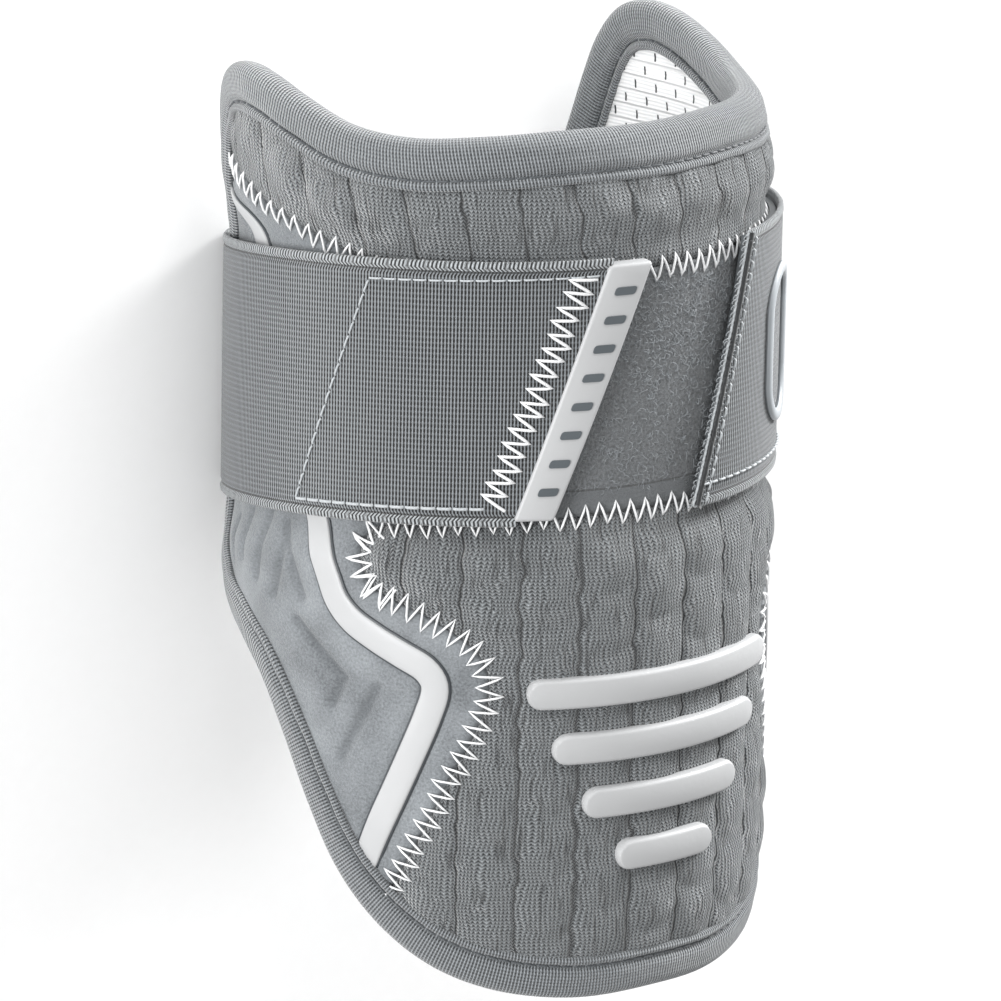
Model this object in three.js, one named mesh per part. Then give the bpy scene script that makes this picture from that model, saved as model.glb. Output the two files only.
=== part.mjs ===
// A batter's elbow guard: a padded cuff that is open along the back, held by one wide elastic strap.
// Lengths are millimetres and angles are degrees. The guard lies on its back, as it does on a bench:
// +Y runs up the arm, +Z points out of the front, and the back stretch of the strap rests on Z = 0.
// Each soft piece is cut from a flat pattern, across and along the arm, and is then rolled round the arm.

import * as THREE from 'three';
import { mergeVertices } from 'three/addons/utils/BufferGeometryUtils.js';

// Driving sizes of the cuff
const GUARD_LENGTH = 174;       // up the arm, over the binding
const OUTER_RADIUS = 52.5;       // outside of the pads
const WING_TURN = 132;          // from the front centre line to the free edge of a wing
const COVER_THICKNESS = 4.4;    // foam and cloth of the covers, down to the lining
const LINING_THICKNESS = 3.0;   // at the middle of the padded lining
const LINING_EDGE = 1.3;        // the lining where the binding holds it
const EDGE_DIP = 1.6;           // how much the pads thin down on their way to the binding
const EDGE_FADE = 14;           // width of that thinner border
const PIECE_GAP = 0.3;          // between any two pieces
const TOP_LEAN = 7.5;           // how far the upper end is drawn in to the arm
const TOP_LEAN_START = 130;     // height where that begins

// The binding, a knitted tape folded over the raw edge
const TAPE_THICKNESS = 0.9;
const TAPE_FOLD = 5;            // how far each leg of the tape reaches in from the edge line
const SLOT_DEPTH = 1.4;          // room past the edge line inside the fold

// The strap and what is sewn to it
const STRAP_WIDTH = 50.8;
const STRAP_THICKNESS = 1.2;
const STRAP_HEIGHT = 120;       // its centre line at the front
const STRAP_DROP = 9.4;         // how much lower it runs behind the arm
const STRAP_PRESS = 1.9;        // how far it presses into the pads
const PRESS_MARGIN = 1;         // the pressed belt is this much wider than the strap on each side
const PRESS_FADE = 8;
const WING_SPRING = 0.6;        // how far the wings spring out on both sides of the strap
const WING_SQUEEZE = 0.5;       // how far the strap draws their edges in
const SPRING_TURNS = { from: 75, to: 125 };
const SPRING_FADE = 18;
const STRAP_HOLLOW = 0.3;       // how much its back stretch is drawn in between the wings' edges
const STRAP_HOLLOW_EDGE = 3;    // width of the bend there
const LEFT_END = { top: -15.4, bottom: -34.6 };     // slanted ends, as turns from the front centre
const RIGHT_END = { top: 22.6, bottom: 6 };
const HOOK_THICKNESS = 1.2;
const HOOK_MARGIN = 1.5;        // the hook pads stop this far inside the strap's edges
const LEFT_HOOK_FAR = { top: -65, bottom: -72 };
const RIGHT_HOOK_FAR = { top: 64, bottom: 64 };
const TAB_WIDTH = 8.2;
const TAB_THICKNESS = 2.9;
const GRIP_RING = { turn: 42, length: 31, width: 19, band: 2.4, thickness: 0.7 };

// The loop band that the hooks grip, let in between the two knit panels
const BAND_HEIGHT = 46;
const BAND_OFFSET = -1.4;       // its centre line, from the strap's
const BAND_TURN = 64;           // from the front centre to its ends
const BAND_BOW = 3.5;           // how much lower its lower edge is at the ends
const UPPER_SEAM_SAG = 1.2;     // bow of the seam between a wing's tip and the band

// Trim and pressed marks
const HOLLOW_WIDTH = 7;         // of a moulded hollow, from its middle line to where it runs out
const HOLLOW_DEPTH = 0.9;
const ACCENT_WIDTH = 5.2;
const ACCENT_TIP_WIDTH = 2;
const ACCENT_TIP_SHARE = 0.12;  // length of the tapered tip, as a share of the strip
const ACCENT_THICKNESS = 0.5;
const ACCENT_GAP = 0.5;
const RIB_HEIGHT = 6;
const RIB_THICKNESS = 1.8;
const RIB_PITCH = 11;
const RIB_FIRST = 62;           // height of the uppermost rib
const RIB_LONGEST = 58;
const RIB_SHARES = [1, 0.83, 0.62, 0.38];
const RIB_SHOULDER = 0.6;       // height of its long edges, as a share of its crown's
const RIB_TIP = 0.35;           // width of its end facet, as a share of its own

// Worked out from them
const LINING_RADIUS = OUTER_RADIUS - COVER_THICKNESS;
const EDGE_RADIUS = OUTER_RADIUS - EDGE_DIP;
const STACK_HALF = (EDGE_RADIUS - LINING_RADIUS + PIECE_GAP / 2 + LINING_EDGE) / 2;
const STACK_RADIUS = EDGE_RADIUS - STACK_HALF;
const BEAD_RADIUS = STACK_HALF + PIECE_GAP + TAPE_THICKNESS;
const EDGE_LENGTH = GUARD_LENGTH - 2 * BEAD_RADIUS;
const WING_WIDTH = OUTER_RADIUS * THREE.MathUtils.degToRad(WING_TURN);
const BAND_TOP = STRAP_HEIGHT + BAND_OFFSET + BAND_HEIGHT / 2;
const BAND_BOTTOM = STRAP_HEIGHT + BAND_OFFSET - BAND_HEIGHT / 2;

// The edge line of the right half, from the top of the front, round the wing, to the foot of the tongue.
// across is a share of a wing's width, and along a share of the edge line's length up the arm.
const EDGE_ROWS = [
  { across: 0.000, along: 0.963 },
  { across: 0.150, along: 0.963 },
  { across: 0.300, along: 0.957 },
  { across: 0.420, along: 0.952 },
  { across: 0.530, along: 0.959 },
  { across: 0.630, along: 0.981 },
  { across: 0.700, along: 0.996 },
  { across: 0.755, along: 1.000 },
  { across: 0.810, along: 0.990 },
  { across: 0.855, along: 0.960 },
  { across: 0.890, along: 0.917 },
  { across: 0.930, along: 0.850 },
  { across: 0.975, along: 0.760 },
  { across: 1.000, along: 0.650 },
  { across: 0.995, along: 0.530 },
  { across: 0.955, along: 0.440 },
  { across: 0.890, along: 0.395 },
  { across: 0.800, along: 0.365 },
  { across: 0.725, along: 0.330 },
  { across: 0.660, along: 0.272 },
  { across: 0.600, along: 0.200 },
  { across: 0.540, along: 0.133 },
  { across: 0.475, along: 0.084 },
  { across: 0.385, along: 0.040 },
  { across: 0.285, along: 0.014 },
  { across: 0.150, along: 0.000 },
  { across: 0.000, along: 0.000 },
];
const LOBE_ROW = 8;             // the corner of the upper knit panel
const UPPER_SEAM_ROW = 10;      // where the upper seam reaches the edge
const PANEL_CORNER_ROW = 21;    // the side panel's lower corner
const SEAM_FOOT_ROW = 22;       // where the lower seam reaches the edge
const LINING_CORNERS = { upper: 8, lower: 20 };

// The seam between a side panel and the lower knit panel. down is a share of the way from the band's
// lower corner to the foot of the seam, and across a share of a wing's width.
const LOWER_SEAM_ROWS = [
  { down: 0.000, across: 0.485 },
  { down: 0.020, across: 0.503 },
  { down: 0.060, across: 0.515 },
  { down: 0.110, across: 0.509 },
  { down: 0.155, across: 0.491 },
  { down: 0.185, across: 0.450 },
  { down: 0.213, across: 0.404 },
  { down: 0.250, across: 0.360 },
  { down: 0.300, across: 0.318 },
  { down: 0.360, across: 0.299 },
  { down: 0.430, across: 0.299 },
  { down: 0.520, across: 0.319 },
  { down: 0.640, across: 0.356 },
  { down: 0.780, across: 0.397 },
  { down: 0.920, across: 0.443 },
  { down: 1.000, across: 0.475 },
];

// The middle line of the accent strip, from the wing's tip to the tongue, as shares like the edge line's.
const ACCENT_ROWS = [
  { across: 0.870, along: 0.862 },
  { across: 0.778, along: 0.832 },
  { across: 0.730, along: 0.772 },
  { across: 0.680, along: 0.690 },
  { across: 0.640, along: 0.605 },
  { across: 0.605, along: 0.525 },
  { across: 0.568, along: 0.464 },
  { across: 0.552, along: 0.440 },
  { across: 0.526, along: 0.421 },
  { across: 0.483, along: 0.404 },
  { across: 0.436, along: 0.388 },
  { across: 0.398, along: 0.374 },
  { across: 0.383, along: 0.360 },
  { across: 0.381, along: 0.347 },
  { across: 0.392, along: 0.319 },
  { across: 0.416, along: 0.274 },
  { across: 0.444, along: 0.225 },
  { across: 0.481, along: 0.163 },
];

// Moulded hollows in a side panel: from one end to the other, as shares like the edge line's.
const HOLLOW_ROWS = [
  { across: 0.8, along: 0.46, toAcross: 0.72, toAlong: 0.41 },
  { across: 0.69, along: 0.49, toAcross: 0.72, toAlong: 0.42 },
  { across: 0.646, along: 0.495, toAcross: 0.615, toAlong: 0.43 },
  { across: 0.57, along: 0.35, toAcross: 0.53, toAlong: 0.28 },
  { across: 0.515, along: 0.335, toAcross: 0.575, toAlong: 0.24 },
];

// Numbers of flat facets
const BINDING_STEPS = 96;
const BAND_STEPS = { across: 16, along: 8 };
const WING_STEPS = 10;
const LOWER_SEAM_STEPS = 15;
const UPPER_PANEL_STEPS = 4;
const LINING_STEPS = { across: 28, along: 20 };
const STRAP_STEPS = { front: 20, corner: 3, across: 4 };
const HOOK_STEPS = { round: 10, across: 4 };
const TAB_STEPS = { round: 2, across: 6 };
const ACCENT_STEPS = 26;
const RIB_STEPS = 12;
const RING_STEPS = 24;

const { clamp, degToRad, lerp, radToDeg, smoothstep } = THREE.MathUtils;

// Materials, as the real pieces' colours
function cloth(color, roughness) {
  return new THREE.MeshStandardMaterial({ color, roughness, metalness: 0 });
}
const KNIT = cloth(0x787d81, 0.9);
const MOULDED_FOAM = cloth(0x888d91, 0.85);
const TAPE = cloth(0x777c80, 0.85);
const ELASTIC = cloth(0x71767a, 0.9);
const LOOP_PILE = cloth(0x6c7175, 1.0);
const HOOKS = cloth(0x54595d, 0.8);
const LINING_MESH = cloth(0xe4e5e6, 0.8);
const WHITE_RUBBER = cloth(0xdcdcdc, 0.5);
const GREY_RUBBER = cloth(0x8f9498, 0.55);

// The flat pattern

function patternPoint(row, side = 1) {
  return new THREE.Vector2(side * row.across * WING_WIDTH, BEAD_RADIUS + row.along * EDGE_LENGTH);
}

function smoothLine(points, closed = false) {
  const corners = points.map((p) => new THREE.Vector3(p.x, p.y, 0));
  return new THREE.CatmullRomCurve3(corners, closed, 'centripetal');
}

const LAST_ROW = EDGE_ROWS.length - 1;
const EDGE_LOOP = smoothLine([
  ...EDGE_ROWS.map((row) => patternPoint(row)),
  ...EDGE_ROWS.slice(1, LAST_ROW).reverse().map((row) => patternPoint(row, -1)),
], true);

// A point of the edge line by its place in the table. Rows past the last run back up the left half.
function edgePoint(row) {
  const p = EDGE_LOOP.getPoint(((row / (2 * LAST_ROW)) % 1 + 1) % 1);
  return new THREE.Vector2(p.x, p.y);
}

function edgeStretch(fromRow, toRow, steps) {
  return Array.from({ length: steps + 1 }, (_, i) => edgePoint(lerp(fromRow, toRow, i / steps)));
}

const EDGE_SAMPLES = edgeStretch(0, 2 * LAST_ROW, 4 * LAST_ROW);

function distanceToStretch(point, from, to) {
  const line = new THREE.Line3(new THREE.Vector3(from.x, from.y, 0), new THREE.Vector3(to.x, to.y, 0));
  const here = new THREE.Vector3(point.x, point.y, 0);
  return line.closestPointToPoint(here, true, new THREE.Vector3()).distanceTo(here);
}

function distanceToEdge(point) {
  let nearest = Infinity;
  for (let i = 1; i < EDGE_SAMPLES.length; i += 1) {
    nearest = Math.min(nearest, distanceToStretch(point, EDGE_SAMPLES[i - 1], EDGE_SAMPLES[i]));
  }
  return nearest;
}

// How full the padding is: 0 at the edge line, 1 from EDGE_FADE inwards.
function fullness(point) {
  return smoothstep(distanceToEdge(point), 0, EDGE_FADE);
}

// The arm form

function turnOf(across) {
  return radToDeg(across / OUTER_RADIUS);
}

function strapDrop(turn) {
  const behind = (1 - Math.cos(degToRad(turn))) / (1 - Math.cos(degToRad(WING_TURN)));
  return STRAP_DROP * behind ** 2;
}

function lean(along) {
  const share = clamp((along - TOP_LEAN_START) / (GUARD_LENGTH - TOP_LEAN_START), 0, 1);
  return TOP_LEAN * share ** 2;
}

function roll(point, radius) {
  const angle = point.x / OUTER_RADIUS;
  const out = radius + wingSpring(point);
  return new THREE.Vector3(out * Math.sin(angle), point.y, out * Math.cos(angle) - lean(point.y));
}

function hollowDepth(point) {
  const side = Math.sign(point.x) || 1;
  return HOLLOW_ROWS.reduce((deepest, row) => {
    const from = patternPoint(row, side);
    const to = patternPoint({ across: row.toAcross, along: row.toAlong }, side);
    const away = distanceToStretch(point, from, to);
    return Math.max(deepest, HOLLOW_DEPTH * (1 - smoothstep(away, 0, HOLLOW_WIDTH)));
  }, 0);
}

function underStrap(point, margin, fade) {
  const away = Math.abs(point.y - STRAP_HEIGHT + strapDrop(turnOf(point.x)));
  const belt = STRAP_WIDTH / 2 + margin;
  return 1 - smoothstep(away, belt, belt + fade);
}

function wingSpring(point) {
  const atWing = smoothstep(Math.abs(turnOf(point.x)), SPRING_TURNS.from, SPRING_TURNS.to);
  return atWing * lerp(WING_SPRING, -WING_SQUEEZE, underStrap(point, 0, SPRING_FADE));
}

function padRadius(point, hollow = 0) {
  const full = fullness(point);
  const pressed = STRAP_PRESS * underStrap(point, PRESS_MARGIN, PRESS_FADE);
  return OUTER_RADIUS - EDGE_DIP * (1 - full) - full * (pressed + hollow);
}

function liningInside(point) {
  return LINING_RADIUS - PIECE_GAP / 2 - lerp(LINING_EDGE, LINING_THICKNESS, fullness(point));
}

// Solids

// Moves each vertex of a ready-made geometry to its own place, and closes its seams.
function reshape(geometry, place) {
  const positions = geometry.getAttribute('position');
  const uvs = geometry.getAttribute('uv');
  for (let i = 0; i < positions.count; i += 1) {
    const from = new THREE.Vector3().fromBufferAttribute(positions, i);
    const uv = new THREE.Vector2().fromBufferAttribute(uvs, i);
    const to = place(from, uv);
    positions.setXYZ(i, to.x, to.y, to.z);
  }
  geometry.deleteAttribute('normal');
  geometry.deleteAttribute('uv');
  const closed = mergeVertices(geometry, 1e-4);
  closed.computeVertexNormals();
  return closed;
}

function piece(name, geometry, material) {
  const mesh = new THREE.Mesh(geometry, material);
  mesh.name = name;
  return mesh;
}

// Draws a closed pattern in by a small seam allowance.
function drawnIn(loop, allowance) {
  return loop.map((point, i) => {
    const before = loop[(i + loop.length - 1) % loop.length];
    const after = loop[(i + 1) % loop.length];
    const came = new THREE.Vector2().subVectors(point, before).normalize();
    const goes = new THREE.Vector2().subVectors(after, point).normalize();
    const inward = new THREE.Vector2(-came.y - goes.y, came.x + goes.x).normalize();
    const miter = Math.max(0.5, inward.dot(new THREE.Vector2(-came.y, came.x)));
    return point.clone().addScaledVector(inward, allowance / miter);
  });
}

// A pattern piece with four sides, each a list of points: bottom and top run left to right, and left and
// right run upwards. The inside is filled evenly between them, and the piece gets its two faces.
function panelGeometry(sides, innerRadius, outerRadius) {
  const columns = sides.bottom.length - 1;
  const rows = sides.left.length - 1;
  const loop = drawnIn([
    ...sides.bottom.slice(0, columns),
    ...sides.right.slice(0, rows),
    ...sides.top.slice(1).reverse(),
    ...sides.left.slice(1).reverse(),
  ], PIECE_GAP / 2);
  const bottom = loop.slice(0, columns + 1);
  const right = loop.slice(columns, columns + rows + 1);
  const top = loop.slice(columns + rows, 2 * columns + rows + 1).reverse();
  const left = [...loop.slice(2 * columns + rows), loop[0]].reverse();
  const sheet = new THREE.BoxGeometry(1, 1, 1, columns, rows, 1);
  return reshape(sheet, (from) => {
    const i = Math.round((from.x + 0.5) * columns);
    const j = Math.round((from.y + 0.5) * rows);
    const u = i / columns;
    const v = j / rows;
    const point = new THREE.Vector2()
      .addScaledVector(bottom[i], 1 - v)
      .addScaledVector(top[i], v)
      .addScaledVector(left[j], 1 - u)
      .addScaledVector(right[j], u)
      .addScaledVector(bottom[0], -(1 - u) * (1 - v))
      .addScaledVector(bottom[columns], -u * (1 - v))
      .addScaledVector(top[0], -(1 - u) * v)
      .addScaledVector(top[columns], -u * v);
    return roll(point, from.z > 0 ? outerRadius(point) : innerRadius(point));
  });
}

const COVER_INSIDE = () => LINING_RADIUS + PIECE_GAP / 2;

function mirrored(points) {
  return points.map((p) => new THREE.Vector2(-p.x, p.y));
}

// Seams that two pieces share, from the left

function bandLine(height, bow) {
  const reach = OUTER_RADIUS * degToRad(BAND_TURN);
  return Array.from({ length: BAND_STEPS.across + 1 }, (_, i) => {
    const across = lerp(-reach, reach, i / BAND_STEPS.across);
    return new THREE.Vector2(across, height - bow * (across / reach) ** 2);
  });
}

const BAND_TOP_LINE = bandLine(BAND_TOP, 0);
const BAND_BOTTOM_LINE = bandLine(BAND_BOTTOM, BAND_BOW);

function straight(from, to, steps) {
  return Array.from({ length: steps + 1 }, (_, i) => from.clone().lerp(to, i / steps));
}

const LEFT_BAND_END = straight(BAND_BOTTOM_LINE[0], BAND_TOP_LINE[0], BAND_STEPS.along);

function upperSeam() {
  const tip = edgePoint(2 * LAST_ROW - UPPER_SEAM_ROW);
  return straight(tip, BAND_TOP_LINE[0], WING_STEPS).map((p, i) => {
    const share = i / WING_STEPS;
    return new THREE.Vector2(p.x, p.y - 4 * UPPER_SEAM_SAG * share * (1 - share));
  });
}

const UPPER_SEAM = upperSeam();

function lowerSeam() {
  const foot = edgePoint(2 * LAST_ROW - SEAM_FOOT_ROW);
  const corner = BAND_BOTTOM_LINE[0];
  const middle = LOWER_SEAM_ROWS.slice(1, -1).map((row) => (
    new THREE.Vector2(-row.across * WING_WIDTH, lerp(corner.y, foot.y, row.down))));
  const line = smoothLine([foot, ...middle.reverse(), corner]);
  return Array.from({ length: LOWER_SEAM_STEPS + 1 }, (_, i) => {
    const p = line.getPoint(i / LOWER_SEAM_STEPS);
    return new THREE.Vector2(p.x, p.y);
  });
}

const LOWER_SEAM = lowerSeam();

// The covers

function upperKnitPanel() {
  const steps = BAND_STEPS.across + 2 * WING_STEPS;
  const bottom = [...UPPER_SEAM.slice(0, -1), ...BAND_TOP_LINE, ...mirrored(UPPER_SEAM).reverse().slice(1)];
  const left = edgeStretch(2 * LAST_ROW - UPPER_SEAM_ROW, 2 * LAST_ROW - LOBE_ROW, UPPER_PANEL_STEPS);
  const top = edgeStretch(-LOBE_ROW, LOBE_ROW, steps);
  const sides = { bottom, right: mirrored(left), top, left };
  return piece('upper_knit_panel', panelGeometry(sides, COVER_INSIDE, padRadius), KNIT);
}

function lowerKnitPanel() {
  const bottom = edgeStretch(2 * LAST_ROW - SEAM_FOOT_ROW, SEAM_FOOT_ROW, BAND_STEPS.across);
  const sides = { bottom, right: mirrored(LOWER_SEAM), top: BAND_BOTTOM_LINE, left: LOWER_SEAM };
  return piece('lower_knit_panel', panelGeometry(sides, COVER_INSIDE, padRadius), KNIT);
}

function loopBand() {
  const sides = {
    bottom: BAND_BOTTOM_LINE,
    right: mirrored(LEFT_BAND_END),
    top: BAND_TOP_LINE,
    left: LEFT_BAND_END,
  };
  const surface = () => OUTER_RADIUS - STRAP_PRESS;
  return piece('loop_band', panelGeometry(sides, COVER_INSIDE, surface), LOOP_PILE);
}

function sidePanelSides() {
  const foot = 2 * LAST_ROW - SEAM_FOOT_ROW;
  const corner = 2 * LAST_ROW - PANEL_CORNER_ROW;
  const tip = 2 * LAST_ROW - UPPER_SEAM_ROW;
  const right = [...LOWER_SEAM.slice(0, -1), ...LEFT_BAND_END];
  const left = edgeStretch(corner, tip, right.length - 1);
  const bottom = edgeStretch(corner, foot, WING_STEPS);
  return { bottom, right, top: UPPER_SEAM, left };
}

function sidePanel(name, side) {
  let sides = sidePanelSides();
  if (side > 0) {
    sides = {
      bottom: mirrored(sides.bottom).reverse(),
      right: mirrored(sides.left),
      top: mirrored(sides.top).reverse(),
      left: mirrored(sides.right),
    };
  }
  const surface = (point) => padRadius(point, hollowDepth(point));
  return piece(name, panelGeometry(sides, COVER_INSIDE, surface), MOULDED_FOAM);
}

function meshLining() {
  const { upper, lower } = LINING_CORNERS;
  const left = edgeStretch(2 * LAST_ROW - lower, 2 * LAST_ROW - upper, LINING_STEPS.along);
  const bottom = edgeStretch(2 * LAST_ROW - lower, lower, LINING_STEPS.across);
  const top = edgeStretch(-upper, upper, LINING_STEPS.across);
  const outside = () => LINING_RADIUS - PIECE_GAP / 2;
  const sides = { bottom, right: mirrored(left), top, left };
  return piece('mesh_lining', panelGeometry(sides, liningInside, outside), LINING_MESH);
}

// The binding: a tape folded round the edge line, as a ring whose section follows the pads' own faces.
function edgeBinding() {
  const slot = STACK_HALF + PIECE_GAP;
  const round = BEAD_RADIUS * Math.SQRT1_2;
  const section = [
    { inward: TAPE_FOLD, radius: (p) => padRadius(p) + PIECE_GAP + TAPE_THICKNESS },
    { inward: 0, radius: () => STACK_RADIUS + BEAD_RADIUS },
    { inward: -round, radius: () => STACK_RADIUS + round },
    { inward: -BEAD_RADIUS, radius: () => STACK_RADIUS },
    { inward: -round, radius: () => STACK_RADIUS - round },
    { inward: 0, radius: () => STACK_RADIUS - BEAD_RADIUS },
    { inward: TAPE_FOLD, radius: (p) => liningInside(p) - PIECE_GAP - TAPE_THICKNESS },
    { inward: TAPE_FOLD, radius: (p) => liningInside(p) - PIECE_GAP },
    { inward: -SLOT_DEPTH, radius: () => STACK_RADIUS - slot },
    { inward: -SLOT_DEPTH, radius: () => STACK_RADIUS + slot },
    { inward: TAPE_FOLD, radius: (p) => padRadius(p) + PIECE_GAP },
  ];
  const ring = new THREE.TorusGeometry(2, 1, section.length, BINDING_STEPS);
  const geometry = reshape(ring, (from, uv) => {
    const share = (Math.round(uv.x * BINDING_STEPS) % BINDING_STEPS) / BINDING_STEPS;
    const place = section[Math.round(uv.y * section.length) % section.length];
    const here = EDGE_LOOP.getPointAt(share);
    const heading = EDGE_LOOP.getTangentAt(share);
    const point = new THREE.Vector2(
      here.x + heading.y * place.inward,
      here.y - heading.x * place.inward,
    );
    return roll(point, place.radius(point));
  });
  return piece('edge_binding', geometry, TAPE);
}

// The strap

const HOOK_INSIDE = OUTER_RADIUS - STRAP_PRESS + PIECE_GAP;
const OVER_HOOKS = HOOK_INSIDE + HOOK_THICKNESS + PIECE_GAP;
const OVER_BINDING = STACK_RADIUS - WING_SQUEEZE + BEAD_RADIUS + PIECE_GAP;
const EDGE_CENTRE = STACK_RADIUS - WING_SQUEEZE;   // of the binding where the strap crosses it

function strapInside(turn) {
  return lerp(OVER_HOOKS, OVER_BINDING, smoothstep(Math.abs(turn), SPRING_TURNS.from, SPRING_TURNS.to));
}

function slantedEnd(end, v) {
  return lerp(end.bottom, end.top, v);
}

// A point of the strap: step counts from the front end of its half, v runs up its width, and out runs
// from 0 at its inside to 1 at its outside. Behind the wings it turns a corner and runs straight across.
function strapPoint(side, step, v, out) {
  const end = Math.abs(slantedEnd(side < 0 ? LEFT_END : RIGHT_END, v));
  const thickness = out * STRAP_THICKNESS;
  const turn = Math.min(step / STRAP_STEPS.front, 1) * (WING_TURN - end) + end;
  const along = STRAP_HEIGHT - strapDrop(turn) + (v - 0.5) * STRAP_WIDTH;
  if (step <= STRAP_STEPS.front) {
    return roundArm(strapInside(turn) + thickness, side * turn, along);
  }
  const bend = OVER_BINDING - EDGE_CENTRE + thickness;
  const past = Math.min((step - STRAP_STEPS.front) / STRAP_STEPS.corner, 1);
  const heading = degToRad(lerp(WING_TURN, 180, past));
  const across = EDGE_CENTRE * Math.sin(degToRad(WING_TURN)) + bend * Math.sin(heading);
  const front = EDGE_CENTRE * Math.cos(degToRad(WING_TURN)) + bend * Math.cos(heading);
  const beyond = step - STRAP_STEPS.front - STRAP_STEPS.corner;
  if (beyond <= 0) return new THREE.Vector3(side * across, along, front);
  const drawnIn = beyond > 1 ? 0 : side * (across - STRAP_HOLLOW_EDGE);
  return new THREE.Vector3(drawnIn, along, front + STRAP_HOLLOW);
}

function elasticStrap() {
  const half = STRAP_STEPS.front + STRAP_STEPS.corner + 2;
  const sheet = new THREE.BoxGeometry(1, 1, 1, 2 * half, STRAP_STEPS.across, 1);
  const geometry = reshape(sheet, (from) => {
    const i = Math.round((from.x + 0.5) * 2 * half);
    const side = i > half ? -1 : 1;
    return strapPoint(side, side > 0 ? i : 2 * half - i, from.y + 0.5, from.z + 0.5);
  });
  return piece('elastic_strap', geometry, ELASTIC);
}

// A place at a radius, a turn from the front and a height.
function roundArm(radius, turn, along) {
  const angle = degToRad(turn);
  return new THREE.Vector3(radius * Math.sin(angle), along, radius * Math.cos(angle));
}

// A flat patch that follows the strap round the arm between two slanted ends.
function beltPatch(name, ends, margin, inside, thickness, steps, material) {
  const sheet = new THREE.BoxGeometry(1, 1, 1, steps.round, steps.across, 1);
  const share = margin / STRAP_WIDTH;
  const geometry = reshape(sheet, (from) => {
    const v = lerp(share, 1 - share, from.y + 0.5);
    const turn = lerp(slantedEnd(ends[0], v), slantedEnd(ends[1], v), from.x + 0.5);
    const along = STRAP_HEIGHT - strapDrop(turn) + (v - 0.5) * STRAP_WIDTH;
    return roundArm(inside + (from.z + 0.5) * thickness, turn, along);
  });
  return piece(name, geometry, material);
}

function shiftedEnd(end, distance) {
  const turn = turnOf(distance);
  return { top: end.top + turn, bottom: end.bottom + turn };
}

function hookPads() {
  const leftEnds = [LEFT_HOOK_FAR, shiftedEnd(LEFT_END, -HOOK_MARGIN)];
  const rightEnds = [shiftedEnd(RIGHT_END, HOOK_MARGIN), RIGHT_HOOK_FAR];
  return [
    beltPatch('left_hook_pad', leftEnds, HOOK_MARGIN, HOOK_INSIDE, HOOK_THICKNESS, HOOK_STEPS, HOOKS),
    beltPatch('right_hook_pad', rightEnds, HOOK_MARGIN, HOOK_INSIDE, HOOK_THICKNESS, HOOK_STEPS, HOOKS),
  ];
}

function pullTab() {
  const ends = [shiftedEnd(LEFT_END, PIECE_GAP), shiftedEnd(LEFT_END, PIECE_GAP + TAB_WIDTH)];
  return beltPatch('pull_tab', ends, PIECE_GAP, HOOK_INSIDE, TAB_THICKNESS, TAB_STEPS, WHITE_RUBBER);
}

// A rubber ring with straight sides and round ends, moulded on the strap's right end.
function gripRing() {
  const section = [
    { outward: 0.5, lift: 0 },
    { outward: 0.5, lift: 0.6 },
    { outward: 0, lift: 1 },
    { outward: -0.5, lift: 0.6 },
    { outward: -0.5, lift: 0 },
  ];
  const base = strapInside(GRIP_RING.turn) + STRAP_THICKNESS + PIECE_GAP;
  const bend = (GRIP_RING.width - GRIP_RING.band) / 2;
  const straightHalf = GRIP_RING.length / 2 - GRIP_RING.band / 2 - bend;
  const ring = new THREE.TorusGeometry(2, 1, section.length, RING_STEPS);
  const geometry = reshape(ring, (from, uv) => {
    const angle = 2 * Math.PI * ((Math.round(uv.x * RING_STEPS) % RING_STEPS) + 0.5) / RING_STEPS;
    const place = section[Math.round(uv.y * section.length) % section.length];
    const reach = bend + place.outward * GRIP_RING.band;
    const across = reach * Math.cos(angle);
    const along = reach * Math.sin(angle) + Math.sign(Math.sin(angle)) * straightHalf;
    const height = STRAP_HEIGHT - strapDrop(GRIP_RING.turn) + along;
    return roundArm(base + place.lift * GRIP_RING.thickness, GRIP_RING.turn + turnOf(across), height);
  });
  return piece('grip_ring', geometry, GREY_RUBBER);
}

// Trim on the pads

function accentStrip(name, side) {
  const line = smoothLine(ACCENT_ROWS.map((row) => patternPoint(row, side)));
  const sheet = new THREE.BoxGeometry(1, 1, 1, ACCENT_STEPS, 1, 1);
  const geometry = reshape(sheet, (from) => {
    const share = side > 0 ? from.x + 0.5 : 0.5 - from.x;
    const here = line.getPoint(share);
    const along = line.getTangent(share).multiplyScalar(side);
    const width = lerp(ACCENT_TIP_WIDTH, ACCENT_WIDTH, smoothstep(share, 0, ACCENT_TIP_SHARE));
    const point = new THREE.Vector2(here.x - along.y * from.y * width, here.y + along.x * from.y * width);
    return roll(point, padRadius(point) + ACCENT_GAP + (from.z + 0.5) * ACCENT_THICKNESS);
  });
  return piece(name, geometry, WHITE_RUBBER);
}

// A raised bar with round ends that lies across the front of the elbow.
function impactRib(index) {
  const length = RIB_LONGEST * RIB_SHARES[index];
  const height = RIB_FIRST - index * RIB_PITCH;
  const roundEnd = RIB_HEIGHT / 2;
  const bar = new THREE.BoxGeometry(1, 1, 1, RIB_STEPS, 2, 1);
  const geometry = reshape(bar, (from) => {
    const across = Math.sin(from.x * Math.PI) * length / 2;
    const fromEnd = length / 2 - Math.abs(across);
    const taper = fromEnd < roundEnd ? Math.sqrt(1 - (1 - fromEnd / roundEnd) ** 2) : 1;
    const half = Math.max(RIB_TIP, taper) * roundEnd;
    const point = new THREE.Vector2(across, height + 2 * from.y * half);
    const lift = from.z < 0 ? 0 : RIB_THICKNESS * (from.y === 0 ? 1 : RIB_SHOULDER);
    return roll(point, padRadius(point) + PIECE_GAP + lift);
  });
  return piece(`impact_rib_${index + 1}`, geometry, WHITE_RUBBER);
}

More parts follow.
